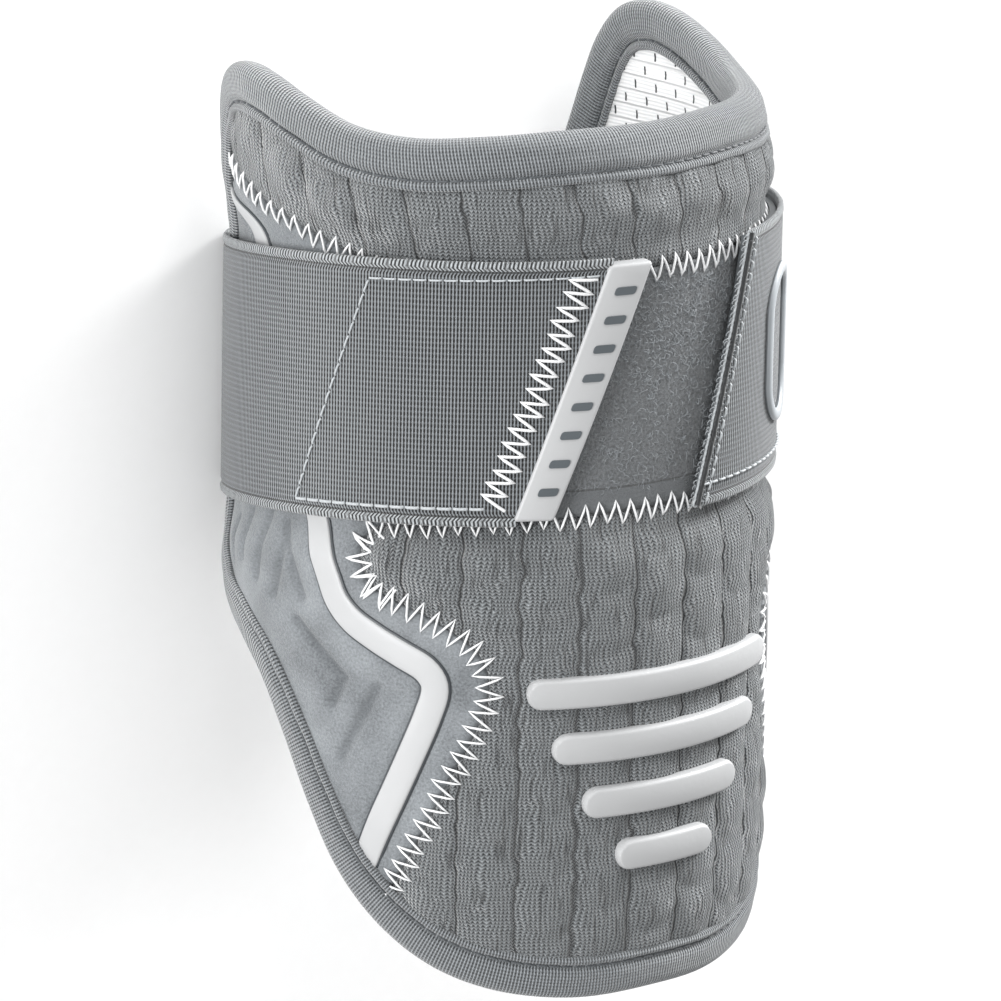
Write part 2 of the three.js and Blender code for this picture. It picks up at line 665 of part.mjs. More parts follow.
// The whole guard, set down with its lowest face on Z = 0 and centred over the origin

const guard = new THREE.Group();
guard.add(
  meshLining(),
  upperKnitPanel(),
  lowerKnitPanel(),
  loopBand(),
  sidePanel('left_side_panel', -1),
  sidePanel('right_side_panel', 1),
  edgeBinding(),
  elasticStrap(),
  ...hookPads(),
  pullTab(),
  gripRing(),
  accentStrip('left_accent_strip', -1),
  accentStrip('right_accent_strip', 1),
  ...RIB_SHARES.map((_, index) => impactRib(index)),
);
const extent = new THREE.Box3().setFromObject(guard);
const middle = extent.getCenter(new THREE.Vector3());
guard.position.set(-middle.x, -middle.y, -extent.min.z);

export default guard;
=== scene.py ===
# %% [markdown]
# # Dressing a batter's elbow guard
# The plain model gives every piece its place: a padded cuff that lies on its back, open behind the arm,
# with one wide elastic strap. This file gives each piece the form and finish of the real one. Lengths
# in the pattern are millimetres, as on a cutting table, and become metres when a piece is rolled.

import math

import bmesh
import bpy
import numpy as np
from mathutils import Matrix, Vector


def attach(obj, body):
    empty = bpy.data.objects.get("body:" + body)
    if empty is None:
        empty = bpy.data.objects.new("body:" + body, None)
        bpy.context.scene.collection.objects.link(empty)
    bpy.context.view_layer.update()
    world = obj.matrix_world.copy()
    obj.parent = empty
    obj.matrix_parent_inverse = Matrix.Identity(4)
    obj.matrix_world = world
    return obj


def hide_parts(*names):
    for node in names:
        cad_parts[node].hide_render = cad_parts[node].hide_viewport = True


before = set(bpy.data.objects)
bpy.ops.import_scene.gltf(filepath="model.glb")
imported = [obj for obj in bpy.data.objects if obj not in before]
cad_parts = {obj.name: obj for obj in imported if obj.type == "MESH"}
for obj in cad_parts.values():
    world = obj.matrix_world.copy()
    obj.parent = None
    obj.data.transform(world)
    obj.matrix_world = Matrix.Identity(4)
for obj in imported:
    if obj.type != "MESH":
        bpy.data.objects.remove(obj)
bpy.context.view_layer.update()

# %% [markdown]
# ## The camera
# A product picture is taken with a long lens from far away, so that near and far parts keep their
# proportions. The guard is seen from its front, a little from its left and from above. The camera
# turns about the arm's axis, so its place is written as turns.

# %% The camera
AXIS_HEIGHT = 37.127     # the arm's axis above the floor, mm
PATTERN_MIDDLE = 86.878  # height on the pattern that lies over the middle of the floor


def placed(name, data):
    """A new object in the scene."""
    made = bpy.data.objects.new(name, data)
    bpy.context.scene.collection.objects.link(made)
    return made


def look_at_guard(turn, rise, roll, distance, along, aside, lens):
    turn, rise, roll = (math.radians(angle) for angle in (turn, rise, roll))
    back = Vector((-math.sin(turn) * math.cos(rise), math.sin(rise), math.cos(turn) * math.cos(rise)))
    level = Vector((math.cos(turn), 0, math.sin(turn)))
    right = math.cos(roll) * level + math.sin(roll) * back.cross(level)
    target = Vector((0, along - PATTERN_MIDDLE, AXIS_HEIGHT)) + aside * level
    camera = placed("camera", bpy.data.cameras.new("camera"))
    camera.data.lens = lens
    camera.data.clip_end = 20
    camera.matrix_world = (Matrix.Translation((target + distance * back) / 1000)
                           @ Matrix((right, back.cross(right), back)).transposed().to_4x4())
    bpy.context.scene.camera = camera
    return camera


camera = look_at_guard(turn=38.6, rise=16, roll=1.2, distance=1600, along=84.4, aside=0.87, lens=299.2)
print("camera at", tuple(round(x, 3) for x in camera.location))

# %% [markdown]
# ## Finishes
# A finish is a small network of nodes. One function adds a node with its settings and links. Colours
# are written as on screen, in hex, and are turned into the linear light that the shader works with.

# %% Nodes and colours


def linear(hex_colour):
    parts = [int(hex_colour[i:i + 2], 16) / 255 for i in (1, 3, 5)]
    return tuple(c / 12.92 if c <= 0.04045 else ((c + 0.055) / 1.055) ** 2.4 for c in parts) + (1.0,)


def add(tree, kind, inputs=(), out=0, **settings):
    """Adds a node with its settings and inputs, in their order or by name, and gives one output.

    The operation of a Math node and the data type of a Mix node follow its kind.
    """
    kind, _, mode = kind.partition(" ")
    made = tree.nodes.new("ShaderNode" + kind)
    if mode:
        settings["operation" if kind == "Math" else "data_type"] = mode
    for name, value in settings.items():
        setattr(made, name, value)
    for key, value in (inputs if isinstance(inputs, dict) else dict(enumerate(inputs))).items():
        if isinstance(value, bpy.types.NodeSocket):
            tree.links.new(value, made.inputs[key])
        else:
            made.inputs[key].default_value = linear(value) if isinstance(value, str) else value
    return made.outputs[out]


def finish(name, **sockets):
    """A new material, with the shader's own plain settings, such as Roughness=0.8."""
    material = bpy.data.materials.new(name)
    material.use_nodes = True
    shader = material.node_tree.nodes["Principled BSDF"]
    for key, value in sockets.items():
        shader.inputs[key.replace("_", " ")].default_value = value
    return material, material.node_tree


def connect(tree, colour, height=None, depth=0):
    """Links a colour and a bump to the shader. depth is the bump's real depth in metres."""
    shader = tree.nodes["Principled BSDF"]
    tree.links.new(colour, shader.inputs["Base Color"])
    if height is not None:
        bump = add(tree, "Bump", {"Height": height, "Distance": depth})
        tree.links.new(bump, shader.inputs["Normal"])


# %% [markdown]
# ## The cutting pattern
# Foam laminate is cut flat and sewn to shape. The same pattern as the plain model's is written here:
# the edge line runs round one half, given as shares of a wing's width and of the edge line's length.

# %% Sizes
OUTER_RADIUS = 52.5
LINING_RADIUS = 48.1
PIECE_GAP = 0.3
STACK_RADIUS = 48.775    # middle of the folded edge
BEAD_RADIUS = 3.325      # of the rounded edge tape
EDGE_LENGTH = 167.35
WING_TURN = math.radians(132)
WING_WIDTH = OUTER_RADIUS * WING_TURN
STRAP_HEIGHT = 120.0
STRAP_WIDTH = 50.8
STRAP_THICKNESS = 1.2
STRAP_DROP = 9.4            # its centre line's, from the front to the wings
STRAP_FRONT_RADIUS = 52.4   # of the strap's inside, over the hooks
STRAP_BACK_RADIUS = 51.9    # and over the wings' edges
LEFT_END = (-15.4, -34.6)   # turn of the strap's slanted ends at the top and bottom
RIGHT_END = (22.6, 6.0)
BAND_REACH = OUTER_RADIUS * math.radians(64)
BAND_TOP = 141.6
BAND_BOTTOM = 95.6
BAND_BOW = 3.5

# %% The edge line
EDGE_ROWS = [
    (0.000, 0.963), (0.150, 0.963), (0.300, 0.957), (0.420, 0.952), (0.530, 0.959), (0.630, 0.981),
    (0.700, 0.996), (0.755, 1.000), (0.810, 0.990), (0.855, 0.960), (0.890, 0.917), (0.930, 0.850),
    (0.975, 0.760), (1.000, 0.650), (0.995, 0.530), (0.955, 0.440), (0.890, 0.395), (0.800, 0.365),
    (0.725, 0.330), (0.660, 0.272), (0.600, 0.200), (0.540, 0.133), (0.475, 0.084), (0.385, 0.040),
    (0.285, 0.014), (0.150, 0.000), (0.000, 0.000),
]


def on_pattern(rows, side=1):
    rows = np.array(rows)
    return np.stack([side * rows[:, 0] * WING_WIDTH, BEAD_RADIUS + rows[:, 1] * EDGE_LENGTH], 1)


def smooth_line(points, closed=False):
    """Gives a function from shares of the way, 0 to 1, to points of a smooth line through the points."""
    if closed:
        ring = np.vstack([points[-1:], points, points[:2]])
    else:
        ring = np.vstack([2 * points[0] - points[1], points, 2 * points[-1] - points[-2]])
    spans = len(ring) - 3

    def at(share):
        place = (np.asarray(share, float) % 1 if closed else np.asarray(share, float)) * spans
        first = np.clip(place.astype(int), 0, spans - 1)
        t = (place - first)[..., None]
        p0, p1, p2, p3 = (ring[first + k] for k in range(4))
        gap0, gap1, gap2 = (np.linalg.norm(b - a, axis=-1, keepdims=True) ** 0.5
                            for a, b in ((p0, p1), (p1, p2), (p2, p3)))
        leave = ((p1 - p0) / gap0 - (p2 - p0) / (gap0 + gap1) + (p2 - p1) / gap1) * gap1
        arrive = ((p2 - p1) / gap1 - (p3 - p1) / (gap1 + gap2) + (p3 - p2) / gap2) * gap1
        return (p1 + leave * t + (3 * (p2 - p1) - 2 * leave - arrive) * t ** 2
                + (2 * (p1 - p2) + leave + arrive) * t ** 3)

    return at


LAST_ROW = len(EDGE_ROWS) - 1
edge_loop = smooth_line(np.vstack([on_pattern(EDGE_ROWS), on_pattern(EDGE_ROWS[1:-1][::-1], -1)]), True)


def edge_stretch(from_row, to_row, count=400):
    """The edge line between two rows of the table. Rows past the last run back up the left half."""
    return edge_loop(np.linspace(from_row, to_row, count) / (2 * LAST_ROW))


def way_along(line):
    """How far along a line each of its points is."""
    return np.concatenate([[0], np.cumsum(np.linalg.norm(np.diff(line, axis=0), axis=1))])


def even(line, count, closed=False):
    """The same line, as points at even distances."""
    if closed:
        line = np.vstack([line, line[:1]])
    way = way_along(line)
    wanted = np.linspace(0, way[-1], count, endpoint=not closed)
    return np.stack([np.interp(wanted, way, line[:, k]) for k in range(line.shape[1])], 1)


def length_of(line):
    return way_along(line)[-1]


def square_to(heading):
    """Unit vectors at right angles to these, on their left."""
    heading = heading / np.linalg.norm(heading, axis=1, keepdims=True)
    return np.stack([-heading[:, 1], heading[:, 0]], 1)


EDGE_POINTS = edge_stretch(0, 2 * LAST_ROW, 261)
print("edge line:", round(length_of(EDGE_POINTS)), "mm round")

# %% [markdown]
# ## The arm form
# A flat point is rolled round the arm: its distance across becomes a turn, and its height stays. The
# pads thin down towards the edge tape, the strap presses a shallow belt into them, and the upper end
# leans in to the arm, all as in the plain model.

# %% Rolling the pattern


def ramp(x, low, high):
    t = np.clip((x - low) / (high - low), 0, 1)
    return t * t * (3 - 2 * t)


def distance_to(points, line):
    """Distance from each point to a polyline, in the pattern."""
    flat = points.reshape(-1, 2)
    best = np.full(len(flat), np.inf)
    for a, b in zip(line[:-1], line[1:]):
        span = b - a
        share = np.clip((flat - a) @ span / max(span @ span, 1e-12), 0, 1)
        away = flat - a - share[:, None] * span
        best = np.minimum(best, np.einsum("ij,ij->i", away, away))
    return np.sqrt(best).reshape(points.shape[:-1])


def strap_drop(turn):
    return STRAP_DROP * ((1 - np.cos(turn)) / (1 - math.cos(WING_TURN))) ** 2


def under_strap(x, y, margin, fade):
    away = np.abs(y - STRAP_HEIGHT + strap_drop(x / OUTER_RADIUS))
    return 1 - ramp(away, STRAP_WIDTH / 2 + margin, STRAP_WIDTH / 2 + margin + fade)


def fullness(points):
    return ramp(distance_to(points, EDGE_POINTS), 0, 14)


def pad_radius(points, full=None):
    full = fullness(points) if full is None else full
    pressed = 1.9 * under_strap(points[..., 0], points[..., 1], 1, 8)
    return OUTER_RADIUS - 1.6 * (1 - full) - full * pressed


def lining_inside(points, full=None):
    full = fullness(points) if full is None else full
    return LINING_RADIUS - PIECE_GAP / 2 - 1.3 - 1.7 * full


def rolled(points, radius):
    """Pattern points at a radius, as places in metres."""
    x, y = points[..., 0], points[..., 1]
    turn = x / OUTER_RADIUS
    at_wing = ramp(np.abs(np.degrees(turn)), 75, 125)
    out = radius + at_wing * (0.6 - 1.1 * under_strap(x, y, 0, 18))
    lean = 7.5 * np.clip((y - 130) / 44, 0, 1) ** 2
    return np.stack([out * np.sin(turn), y - PATTERN_MIDDLE, out * np.cos(turn) - lean + AXIS_HEIGHT],
                    -1) / 1000


# %% [markdown]
# ## Making meshes from patterns
# A panel needs thousands of points that follow its seams, so it is filled evenly between its four
# sides, given its two faces, and closed round its border. The pattern's own millimetres are kept as its
# UV map, so that the knit runs true to the cut.

# %% Panels


def select(*pieces):
    bpy.ops.object.select_all(action="DESELECT")
    for piece in pieces:
        piece.select_set(True)
    bpy.context.view_layer.objects.active = pieces[0]


def new_piece(name, points, faces, uvs=None):
    mesh = bpy.data.meshes.new(name)
    faces = [list(map(int, face)) for face in faces]
    mesh.from_pydata(points.reshape(-1, 3).tolist(), [], faces)
    mesh.shade_smooth()
    if uvs is not None:
        corners = uvs.reshape(-1, 2)[np.concatenate(faces)].ravel()
        mesh.uv_layers.new(name="pattern_mm").data.foreach_set("uv", corners.astype(np.float32))
    return placed(name, mesh)


def quads(index):
    """Four-sided faces between the rows and columns of a grid of point numbers."""
    return np.stack([index[:-1, :-1], index[1:, :-1], index[1:, 1:], index[:-1, 1:]], -1).reshape(-1, 4)


UPWARD, DOWNWARD = [0, 3, 2, 1], [1, 2, 3, 0]  # the two ways round the corners of a face


def shell(name, outside, inside, uvs):
    """A closed panel from two grids of the same size, outside and inside."""
    count = outside[..., 0].size
    index = np.arange(count).reshape(outside.shape[:2])
    rim = np.concatenate([index[0], index[1:, -1], index[-1, -2::-1], index[-2:0:-1, 0]])
    beside = np.roll(rim, -1)
    faces = np.concatenate([quads(index)[:, UPWARD], quads(index)[:, DOWNWARD] + count,
                            np.stack([rim, rim + count, beside + count, beside], 1)])
    return new_piece(name, np.stack([outside, inside]), faces, np.stack([uvs, uvs]))


def filled(bottom, right, top, left, grid):
    """Fills a four-sided pattern piece. Bottom and top run left to right, left and right run up."""
    columns = max(int(max(length_of(bottom), length_of(top)) / grid), 4)
    rows = max(int(max(length_of(left), length_of(right)) / grid), 4)
    bottom, top = even(bottom, columns), even(top, columns)
    left, right = even(left, rows), even(right, rows)
    u = np.linspace(0, 1, columns)[None, :, None]
    v = np.linspace(0, 1, rows)[:, None, None]
    patch = ((1 - v) * bottom[None] + v * top[None] + (1 - u) * left[:, None] + u * right[:, None]
             - (1 - u) * (1 - v) * bottom[0] - u * (1 - v) * bottom[-1]
             - (1 - u) * v * top[0] - u * v * top[-1])
    outline = np.vstack([bottom, right[1:], top[::-1][1:], left[::-1][1:]])
    return patch, outline


def mirrored(line):
    return line * (-1, 1)


# %% Seams


def band_line(height, bow, count=161):
    across = np.linspace(-BAND_REACH, BAND_REACH, count)
    return np.stack([across, height - bow * (across / BAND_REACH) ** 2], 1)


band_top = band_line(BAND_TOP, 0)
band_bottom = band_line(BAND_BOTTOM, BAND_BOW)
band_end = np.linspace(band_bottom[0], band_top[0], 40)

upper_seam = np.linspace(edge_stretch(42, 42, 1)[0], band_top[0], 60)
upper_share = np.linspace(0, 1, 60)
upper_seam[:, 1] -= 4 * 1.2 * upper_share * (1 - upper_share)
upper_hem = np.vstack([upper_seam, band_top[1:], mirrored(upper_seam)[::-1][1:]])

LOWER_SEAM_ROWS = [
    (0.020, 0.503), (0.060, 0.515), (0.110, 0.509), (0.155, 0.491), (0.185, 0.450), (0.213, 0.404),
    (0.250, 0.360), (0.300, 0.318), (0.360, 0.299), (0.430, 0.299), (0.520, 0.319), (0.640, 0.356),
    (0.780, 0.397), (0.920, 0.443),
]
seam_foot = edge_stretch(30, 30, 1)[0]
seam_corner = band_bottom[0]
lower_seam = smooth_line(np.array(
    [seam_foot]
    + [(-across * WING_WIDTH, seam_corner[1] + down * (seam_foot[1] - seam_corner[1]))
       for down, across in reversed(LOWER_SEAM_ROWS)]
    + [seam_corner]))(np.linspace(0, 1, 300))
print("lower seam:", round(length_of(lower_seam)), "mm on each side")

# %% [markdown]
# ## Knit
# The pads are faced with a polyester jersey. Its stitches are small V shapes in columns that sway a
# little. Where the quilting pulls it in, creases run up the arm, and painted shade darkens them.
# The yarn is matt and a little fluffy, so the shader gets some sheen.

# %% Knit finish
WALE, COURSE = 0.88, 0.68  # a stitch's width and height
UPPER_QUILT = {"start": -26.6, "pitch": 10.9, "height": 12.0, "slant": -0.10, "depth": 1.0}
LOWER_QUILT = {"start": -7.6, "pitch": 11.3, "height": 12.4, "slant": 0.0, "depth": 1.2}


def pattern_position(tree):
    place = add(tree, "UVMap", uv_map="pattern_mm")
    return place, add(tree, "SeparateXYZ", [place]), add(tree, "SeparateXYZ", [place], out=1)


def wave(tree, place, period):
    """A sine along one direction of the pattern, with its period in mm."""
    return add(tree, "Math SINE", [add(tree, "Math MULTIPLY", [place, 2 * math.pi / period])])


def knitted(name, quilt):
    material, tree = finish(name, Roughness=0.86, Sheen_Weight=0.6, Sheen_Roughness=0.4)
    place, x, y = pattern_position(tree)
    drift = add(tree, "TexNoise", {"Vector": place, "Scale": 0.22, "Detail": 1.0})
    drift = add(tree, "Math SUBTRACT", [drift, 0.5])
    swaying = add(tree, "Math MULTIPLY_ADD", [drift, 2.6, x])
    fold = add(tree, "Math PINGPONG", [swaying, WALE / 2])
    climb = add(tree, "Math MULTIPLY_ADD", [fold, 1.15, y])
    column = add(tree, "Math MULTIPLY_ADD", [fold, 1.15 / WALE, 0.17])
    stitch = add(tree, "Math MULTIPLY_ADD", [wave(tree, climb, COURSE), 0.26, column])

    slanted = add(tree, "Math MULTIPLY_ADD", [y, -quilt["slant"], swaying])
    from_start = add(tree, "Math SUBTRACT", [slanted, quilt["start"] - 118 * quilt["slant"]])
    line = add(tree, "Math PINGPONG", [from_start, quilt["pitch"] / 2])
    shaded_crease = add(tree, "MapRange", [line, 0.1, 0.42, 0.9, 0.0])
    tall = add(tree, "Mapping", {"Vector": place, "Scale": (1.0, 0.11, 1.0)})
    ladders = add(tree, "TexNoise", {"Vector": tall, "Scale": 1.0})
    ladder = add(tree, "MapRange", [ladders, 0.57, 0.68, 0.0, 0.6])
    dark = add(tree, "Math MAXIMUM", [shaded_crease, ladder])
    height = add(tree, "Math MULTIPLY_ADD", [dark, -0.8, stitch])

    fluff = add(tree, "TexNoise", {"Vector": place, "Scale": 2.4})
    fluff = add(tree, "Math SUBTRACT", [fluff, 0.5])
    tone = add(tree, "Math MULTIPLY_ADD", [fluff, 0.6, stitch])
    yarn = add(tree, "Mix RGBA", {"Factor": tone, 6: "#171b1e", 7: "#a2a7aa"}, out=2)
    # Painted shade darkens the colour along the creases, and the ladder streaks are darkened too.
    colour = add(tree, "Mix RGBA", {"Factor": dark, 6: yarn, 7: "#17191b"}, out=2)
    connect(tree, colour, height, 0.0007)
    return material

# %% [markdown]
# ## Foam panels, tape and elastic
# The side panels are foam faced with brushed tricot, which looks almost plain, with a soft nap. The edge
# tape is a ribbed knit whose ribs run over the edge. The strap is woven elastic: light cords run across
# it with dark gaps between them, crossed by picks, and both its edges have a tight ribbed selvage.

# %% Brushed foam
foam_finish, tree = finish("brushed tricot on foam", Roughness=0.8, Sheen_Weight=0.5, Sheen_Roughness=0.4)
place, x, y = pattern_position(tree)
nap = add(tree, "TexNoise", {"Vector": place, "Scale": 1.9, "Detail": 4.0, "Roughness": 0.7})
cloud = add(tree, "TexNoise", {"Vector": place, "Scale": 0.09})
cloud = add(tree, "Math SUBTRACT", [cloud, 0.5])
tone = add(tree, "Math MULTIPLY_ADD", [cloud, 0.7, nap])
colour = add(tree, "Mix RGBA", {"Factor": tone, 6: "#272b2f", 7: "#a9aeb2"}, out=2)
# Painted shade: the moulded hollows are darkened by their depth, which the side panels keep on their
# points.
pressed = add(tree, "Attribute", out=2, attribute_name="pressed")
painted_hollow_shade = add(tree, "Math MULTIPLY", [pressed, 0.3])
colour = add(tree, "Mix RGBA", {"Factor": painted_hollow_shade, 6: colour, 7: "#2b2f33"}, out=2)
connect(tree, colour, nap, 0.0003)

# %% Ribbed tape
TAPE_RIB = 0.66
tape_finish, tree = finish("ribbed edge tape", Roughness=0.82, Sheen_Weight=0.6, Sheen_Roughness=0.45)
place, x, y = pattern_position(tree)
rib = wave(tree, x, TAPE_RIB)
across = add(tree, "Math MULTIPLY_ADD", [y, 2 * math.pi / 0.7, rib])
knot = add(tree, "Math SINE", [across])
weave = add(tree, "Math MULTIPLY_ADD", [knot, 0.13, 0.5])
weave = add(tree, "Math MULTIPLY_ADD", [rib, 0.38, weave])
fluff = add(tree, "TexNoise", {"Vector": place, "Scale": 1.3, "Detail": 3.0})
fluff = add(tree, "Math SUBTRACT", [fluff, 0.5])
tone = add(tree, "Math MULTIPLY_ADD", [fluff, 0.4, weave])
colour = add(tree, "Mix RGBA", {"Factor": tone, 6: "#15181a", 7: "#9ca1a5"}, out=2)
connect(tree, colour, weave, 0.0004)

# %% Woven elastic
CORD, PICK, SELVAGE = 0.66, 1.03, 1.9
elastic_finish, tree = finish("woven elastic", Roughness=0.85, Sheen_Weight=0.4, Sheen_Roughness=0.5)
place, x, y = pattern_position(tree)
gap = add(tree, "Math MULTIPLY_ADD", [wave(tree, x, CORD), -0.5, 0.5])
pick = wave(tree, y, PICK)
crossing = add(tree, "Math MULTIPLY_ADD", [pick, -0.27, 0.73])
hole = add(tree, "Math MULTIPLY", [gap, crossing])
hole = add(tree, "MapRange", [hole, 0.16, 0.52])
middle = add(tree, "Math SUBTRACT", [y, STRAP_WIDTH / 2])
out = add(tree, "Math ABSOLUTE", [middle])
inner_edge = STRAP_WIDTH / 2 - SELVAGE
selvage = add(tree, "MapRange", [out, inner_edge, inner_edge + 0.2])
# Painted shade: a dark line in the groove between each selvage and the weave.
selvage_groove_shade = add(tree, "Math COMPARE", [out, inner_edge - 0.05, 0.22])
rib = add(tree, "Math MULTIPLY_ADD", [wave(tree, x, 0.8), 0.6, 0.45])
woven = add(tree, "Mix RGBA", {"Factor": hole, 6: "#82878b", 7: "#020202"}, out=2)
ribbed = add(tree, "Mix RGBA", {"Factor": rib, 6: "#0b0c0d", 7: "#b6bbbe"}, out=2)
colour = add(tree, "Mix RGBA", {"Factor": selvage, 6: woven, 7: ribbed}, out=2)
dark = add(tree, "Math MULTIPLY", [selvage_groove_shade, 0.75])
colour = add(tree, "Mix RGBA", {"Factor": dark, 6: colour, 7: "#0b0c0d"}, out=2)
height = add(tree, "Math MULTIPLY_ADD", [pick, 0.12, 0.6])
height = add(tree, "Math SUBTRACT", [height, hole])
connect(tree, colour, height, 0.0004)

# %% Loop pile
HEM_TOP = BAND_BOTTOM + 4.8  # of the smooth strip along the loop band's lower edge
pile_finish, tree = finish("loop pile", Roughness=0.95, Sheen_Weight=0.4, Sheen_Roughness=0.6)
place, x, y = pattern_position(tree)
tuft = add(tree, "TexNoise", {"Vector": place, "Scale": 1.6, "Detail": 5.0, "Roughness": 0.75})
spread = add(tree, "MapRange", [tuft, 0.3, 0.7])
loops = add(tree, "Mix RGBA", {"Factor": spread, 6: "#23272a", 7: "#8f9498"}, out=2)
bare = add(tree, "MapRange", [y, HEM_TOP - 0.1, HEM_TOP + 0.1, 1.0, 0.0])
flat = add(tree, "Math MULTIPLY", [bare, 0.75])
colour = add(tree, "Mix RGBA", {"Factor": flat, 6: loops, 7: "#64696d"}, out=2)
# Painted shade: a dark line along the fold where the pile meets the smooth strip.
fold = add(tree, "Math COMPARE", [y, HEM_TOP, 0.2])
fold = add(tree, "Math MULTIPLY", [fold, 0.7])
colour = add(tree, "Mix RGBA", {"Factor": fold, 6: colour, 7: "#1a1d1f"}, out=2)
connect(tree, colour, spread, 0.0006)

# %% Slit mesh
LINING_ROW, SLIT_PITCH = 2.9, 6.4
lining_finish, tree = finish("slit lining mesh", Roughness=0.6, Sheen_Weight=0.1)
place, x, y = pattern_position(tree)
row = add(tree, "Math FLOOR", [add(tree, "Math DIVIDE", [y, LINING_ROW])])
odd = add(tree, "Math MODULO", [row, 2.0])
shifted = add(tree, "Math MULTIPLY_ADD", [odd, SLIT_PITCH / 2, x])
from_slit = add(tree, "Math PINGPONG", [shifted, SLIT_PITCH / 2])
from_row = add(tree, "Math PINGPONG", [y, LINING_ROW / 2])
narrow = add(tree, "MapRange", [from_slit, 0.16, 0.3, 1.0, 0.0])
short = add(tree, "MapRange", [from_row, 0.6, 0.75])
slit = add(tree, "Math MULTIPLY", [narrow, short])
rib = wave(tree, y, 0.72)
tuck = add(tree, "MapRange", [from_row, 0.05, 0.4])
height = add(tree, "Math MULTIPLY_ADD", [rib, 0.1, tuck])
height = add(tree, "Math SUBTRACT", [height, slit])
shade = add(tree, "Math MULTIPLY_ADD", [rib, 0.5, 0.5])
white = add(tree, "Mix RGBA", {"Factor": shade, 6: "#e9eaeb", 7: "#fdfdfd"}, out=2)
colour = add(tree, "Mix RGBA", {"Factor": slit, 6: white, 7: "#3d4042"}, out=2)
connect(tree, colour, height, 0.0003)

# %% Rubber and thread


def moulded_rubber(name, low, high):
    material, tree = finish(name, Roughness=0.42)
    place = add(tree, "TexCoord", out=3)
    grain = add(tree, "TexNoise", {"Vector": place, "Scale": 900.0, "Detail": 3.0})
    cloud = add(tree, "TexNoise", {"Vector": place, "Scale": 60.0})
    connect(tree, add(tree, "Mix RGBA", {"Factor": cloud, 6: low, 7: high}, out=2), grain, 0.00003)
    return material


def thread(name, low, high):
    """Spun polyester thread, twisted, with a soft shine."""
    material, tree = finish(name, Roughness=0.5, Sheen_Weight=0.3)
    place = add(tree, "TexCoord", out=3)
    twist = add(tree, "TexNoise", {"Vector": place, "Scale": 2500.0})
    connect(tree, add(tree, "Mix RGBA", {"Factor": twist, 6: low, 7: high}, out=2), twist, 0.0001)
    return material


white_rubber = moulded_rubber("white silicone rubber", "#afb0b1", "#b9babb")
grey_rubber = moulded_rubber("grey silicone rubber", "#9a9fa3", "#adb2b6")
white_thread = thread("white polyester thread", "#cfd1d3", "#fbfbfb")
pale_thread = thread("pale grey polyester thread", "#989da1", "#c6cacc")
grey_thread = thread("mid grey polyester yarn", "#787d81", "#a9aeb2")
black_thread = thread("near black polyester thread", "#101213", "#26292c")
dark_thread = thread("dark grey polyester thread", "#2d3033", "#5a5f63")
hook_finish = moulded_rubber("hook tape", "#3c4043", "#5e6367")
border_rubber = moulded_rubber("dark rubber border", "#35393c", "#4a4e52")
dark_rubber = moulded_rubber("dark grey silicone rubber", "#4b5155", "#5b6165")
print(len(bpy.data.materials), "finishes made")

# %% Floor and light
bpy.ops.mesh.primitive_plane_add(size=6)
floor = bpy.context.object
floor.name = "floor"
material, tree = finish("pale studio paper", Roughness=0.9)
place = add(tree, "TexCoord", out=3)
fibre = add(tree, "TexNoise", {"Vector": place, "Scale": 300.0})
paper = add(tree, "Mix RGBA", {"Factor": fibre, 6: "#fcfcfc", 7: "#ffffff"}, out=2)
connect(tree, paper)
floor.data.materials.append(material)
for name, place, size, power in (("left light", (-1.5, 0.1, 0.45), (0.8, 0.5), 20),
                                 ("right light", (1.5, 0.9, 0.28), (0.6, 0.4), 50),
                                 ("top light", (-0.1, 1.5, 1.0), (1.4, 0.8), 14)):
    light = placed(name, bpy.data.lights.new(name, "AREA"))
    light.data.shape = "RECTANGLE"
    light.data.size, light.data.size_y = size
    light.data.energy = power
    away = Vector(place) - Vector((0, 0, 0.05))
    light.matrix_world = Matrix.Translation(place) @ away.to_track_quat("Z", "Y").to_matrix().to_4x4()
world = bpy.data.worlds.new("white studio")
world.use_nodes = True
sky = world.node_tree.nodes["Background"].inputs
sky["Color"].default_value = linear("#ffffff")
sky["Strength"].default_value = 0.58
bpy.context.scene.world = world
bpy.context.scene.view_settings.view_transform = "Standard"

# %% [markdown]
# ## The quilted knit panels
# The knit is pressed over rows of foam blisters, staggered like fish scales. The outline of the guard
# shows them, so they move the mesh itself and aren't only a bump. Near a seam the pad is drawn down.

# %% Quilted panels


def blisters(points, quilt):
    x = points[..., 0] - quilt["start"] - quilt["slant"] * (points[..., 1] - 118)
    column = np.floor(x / quilt["pitch"])
    u = 2 * (x / quilt["pitch"] - column) - 1
    y = points[..., 1] / quilt["height"] + (column % 2) / 2 - 0.22 * u ** 2
    v = 2 * (y - np.floor(y)) - 1
    ridge = np.cos(u * math.pi / 2) ** 0.55
    return ridge * (0.25 + 0.75 * np.cos(v * math.pi / 2) ** 0.7)


def seam_sink(points, outline, width, depth):
    """How far a panel is drawn down near its own outline, as a quarter round."""
    inward = np.clip(distance_to(points, outline) / width, 0, 1)
    return depth * (1 - np.sqrt(1 - (1 - inward) ** 2))


def padded_panel(name, sides, relief, grid=0.8):
    patch, outline = filled(*sides, grid)
    full = fullness(patch)
    sunk = seam_sink(patch, outline, 2.2, 1.0)
    outside = rolled(patch, pad_radius(patch, full) + relief(patch, full, outline) - sunk)
    inside = rolled(patch, LINING_RADIUS + PIECE_GAP / 2)
    return shell(name, outside, inside, patch)


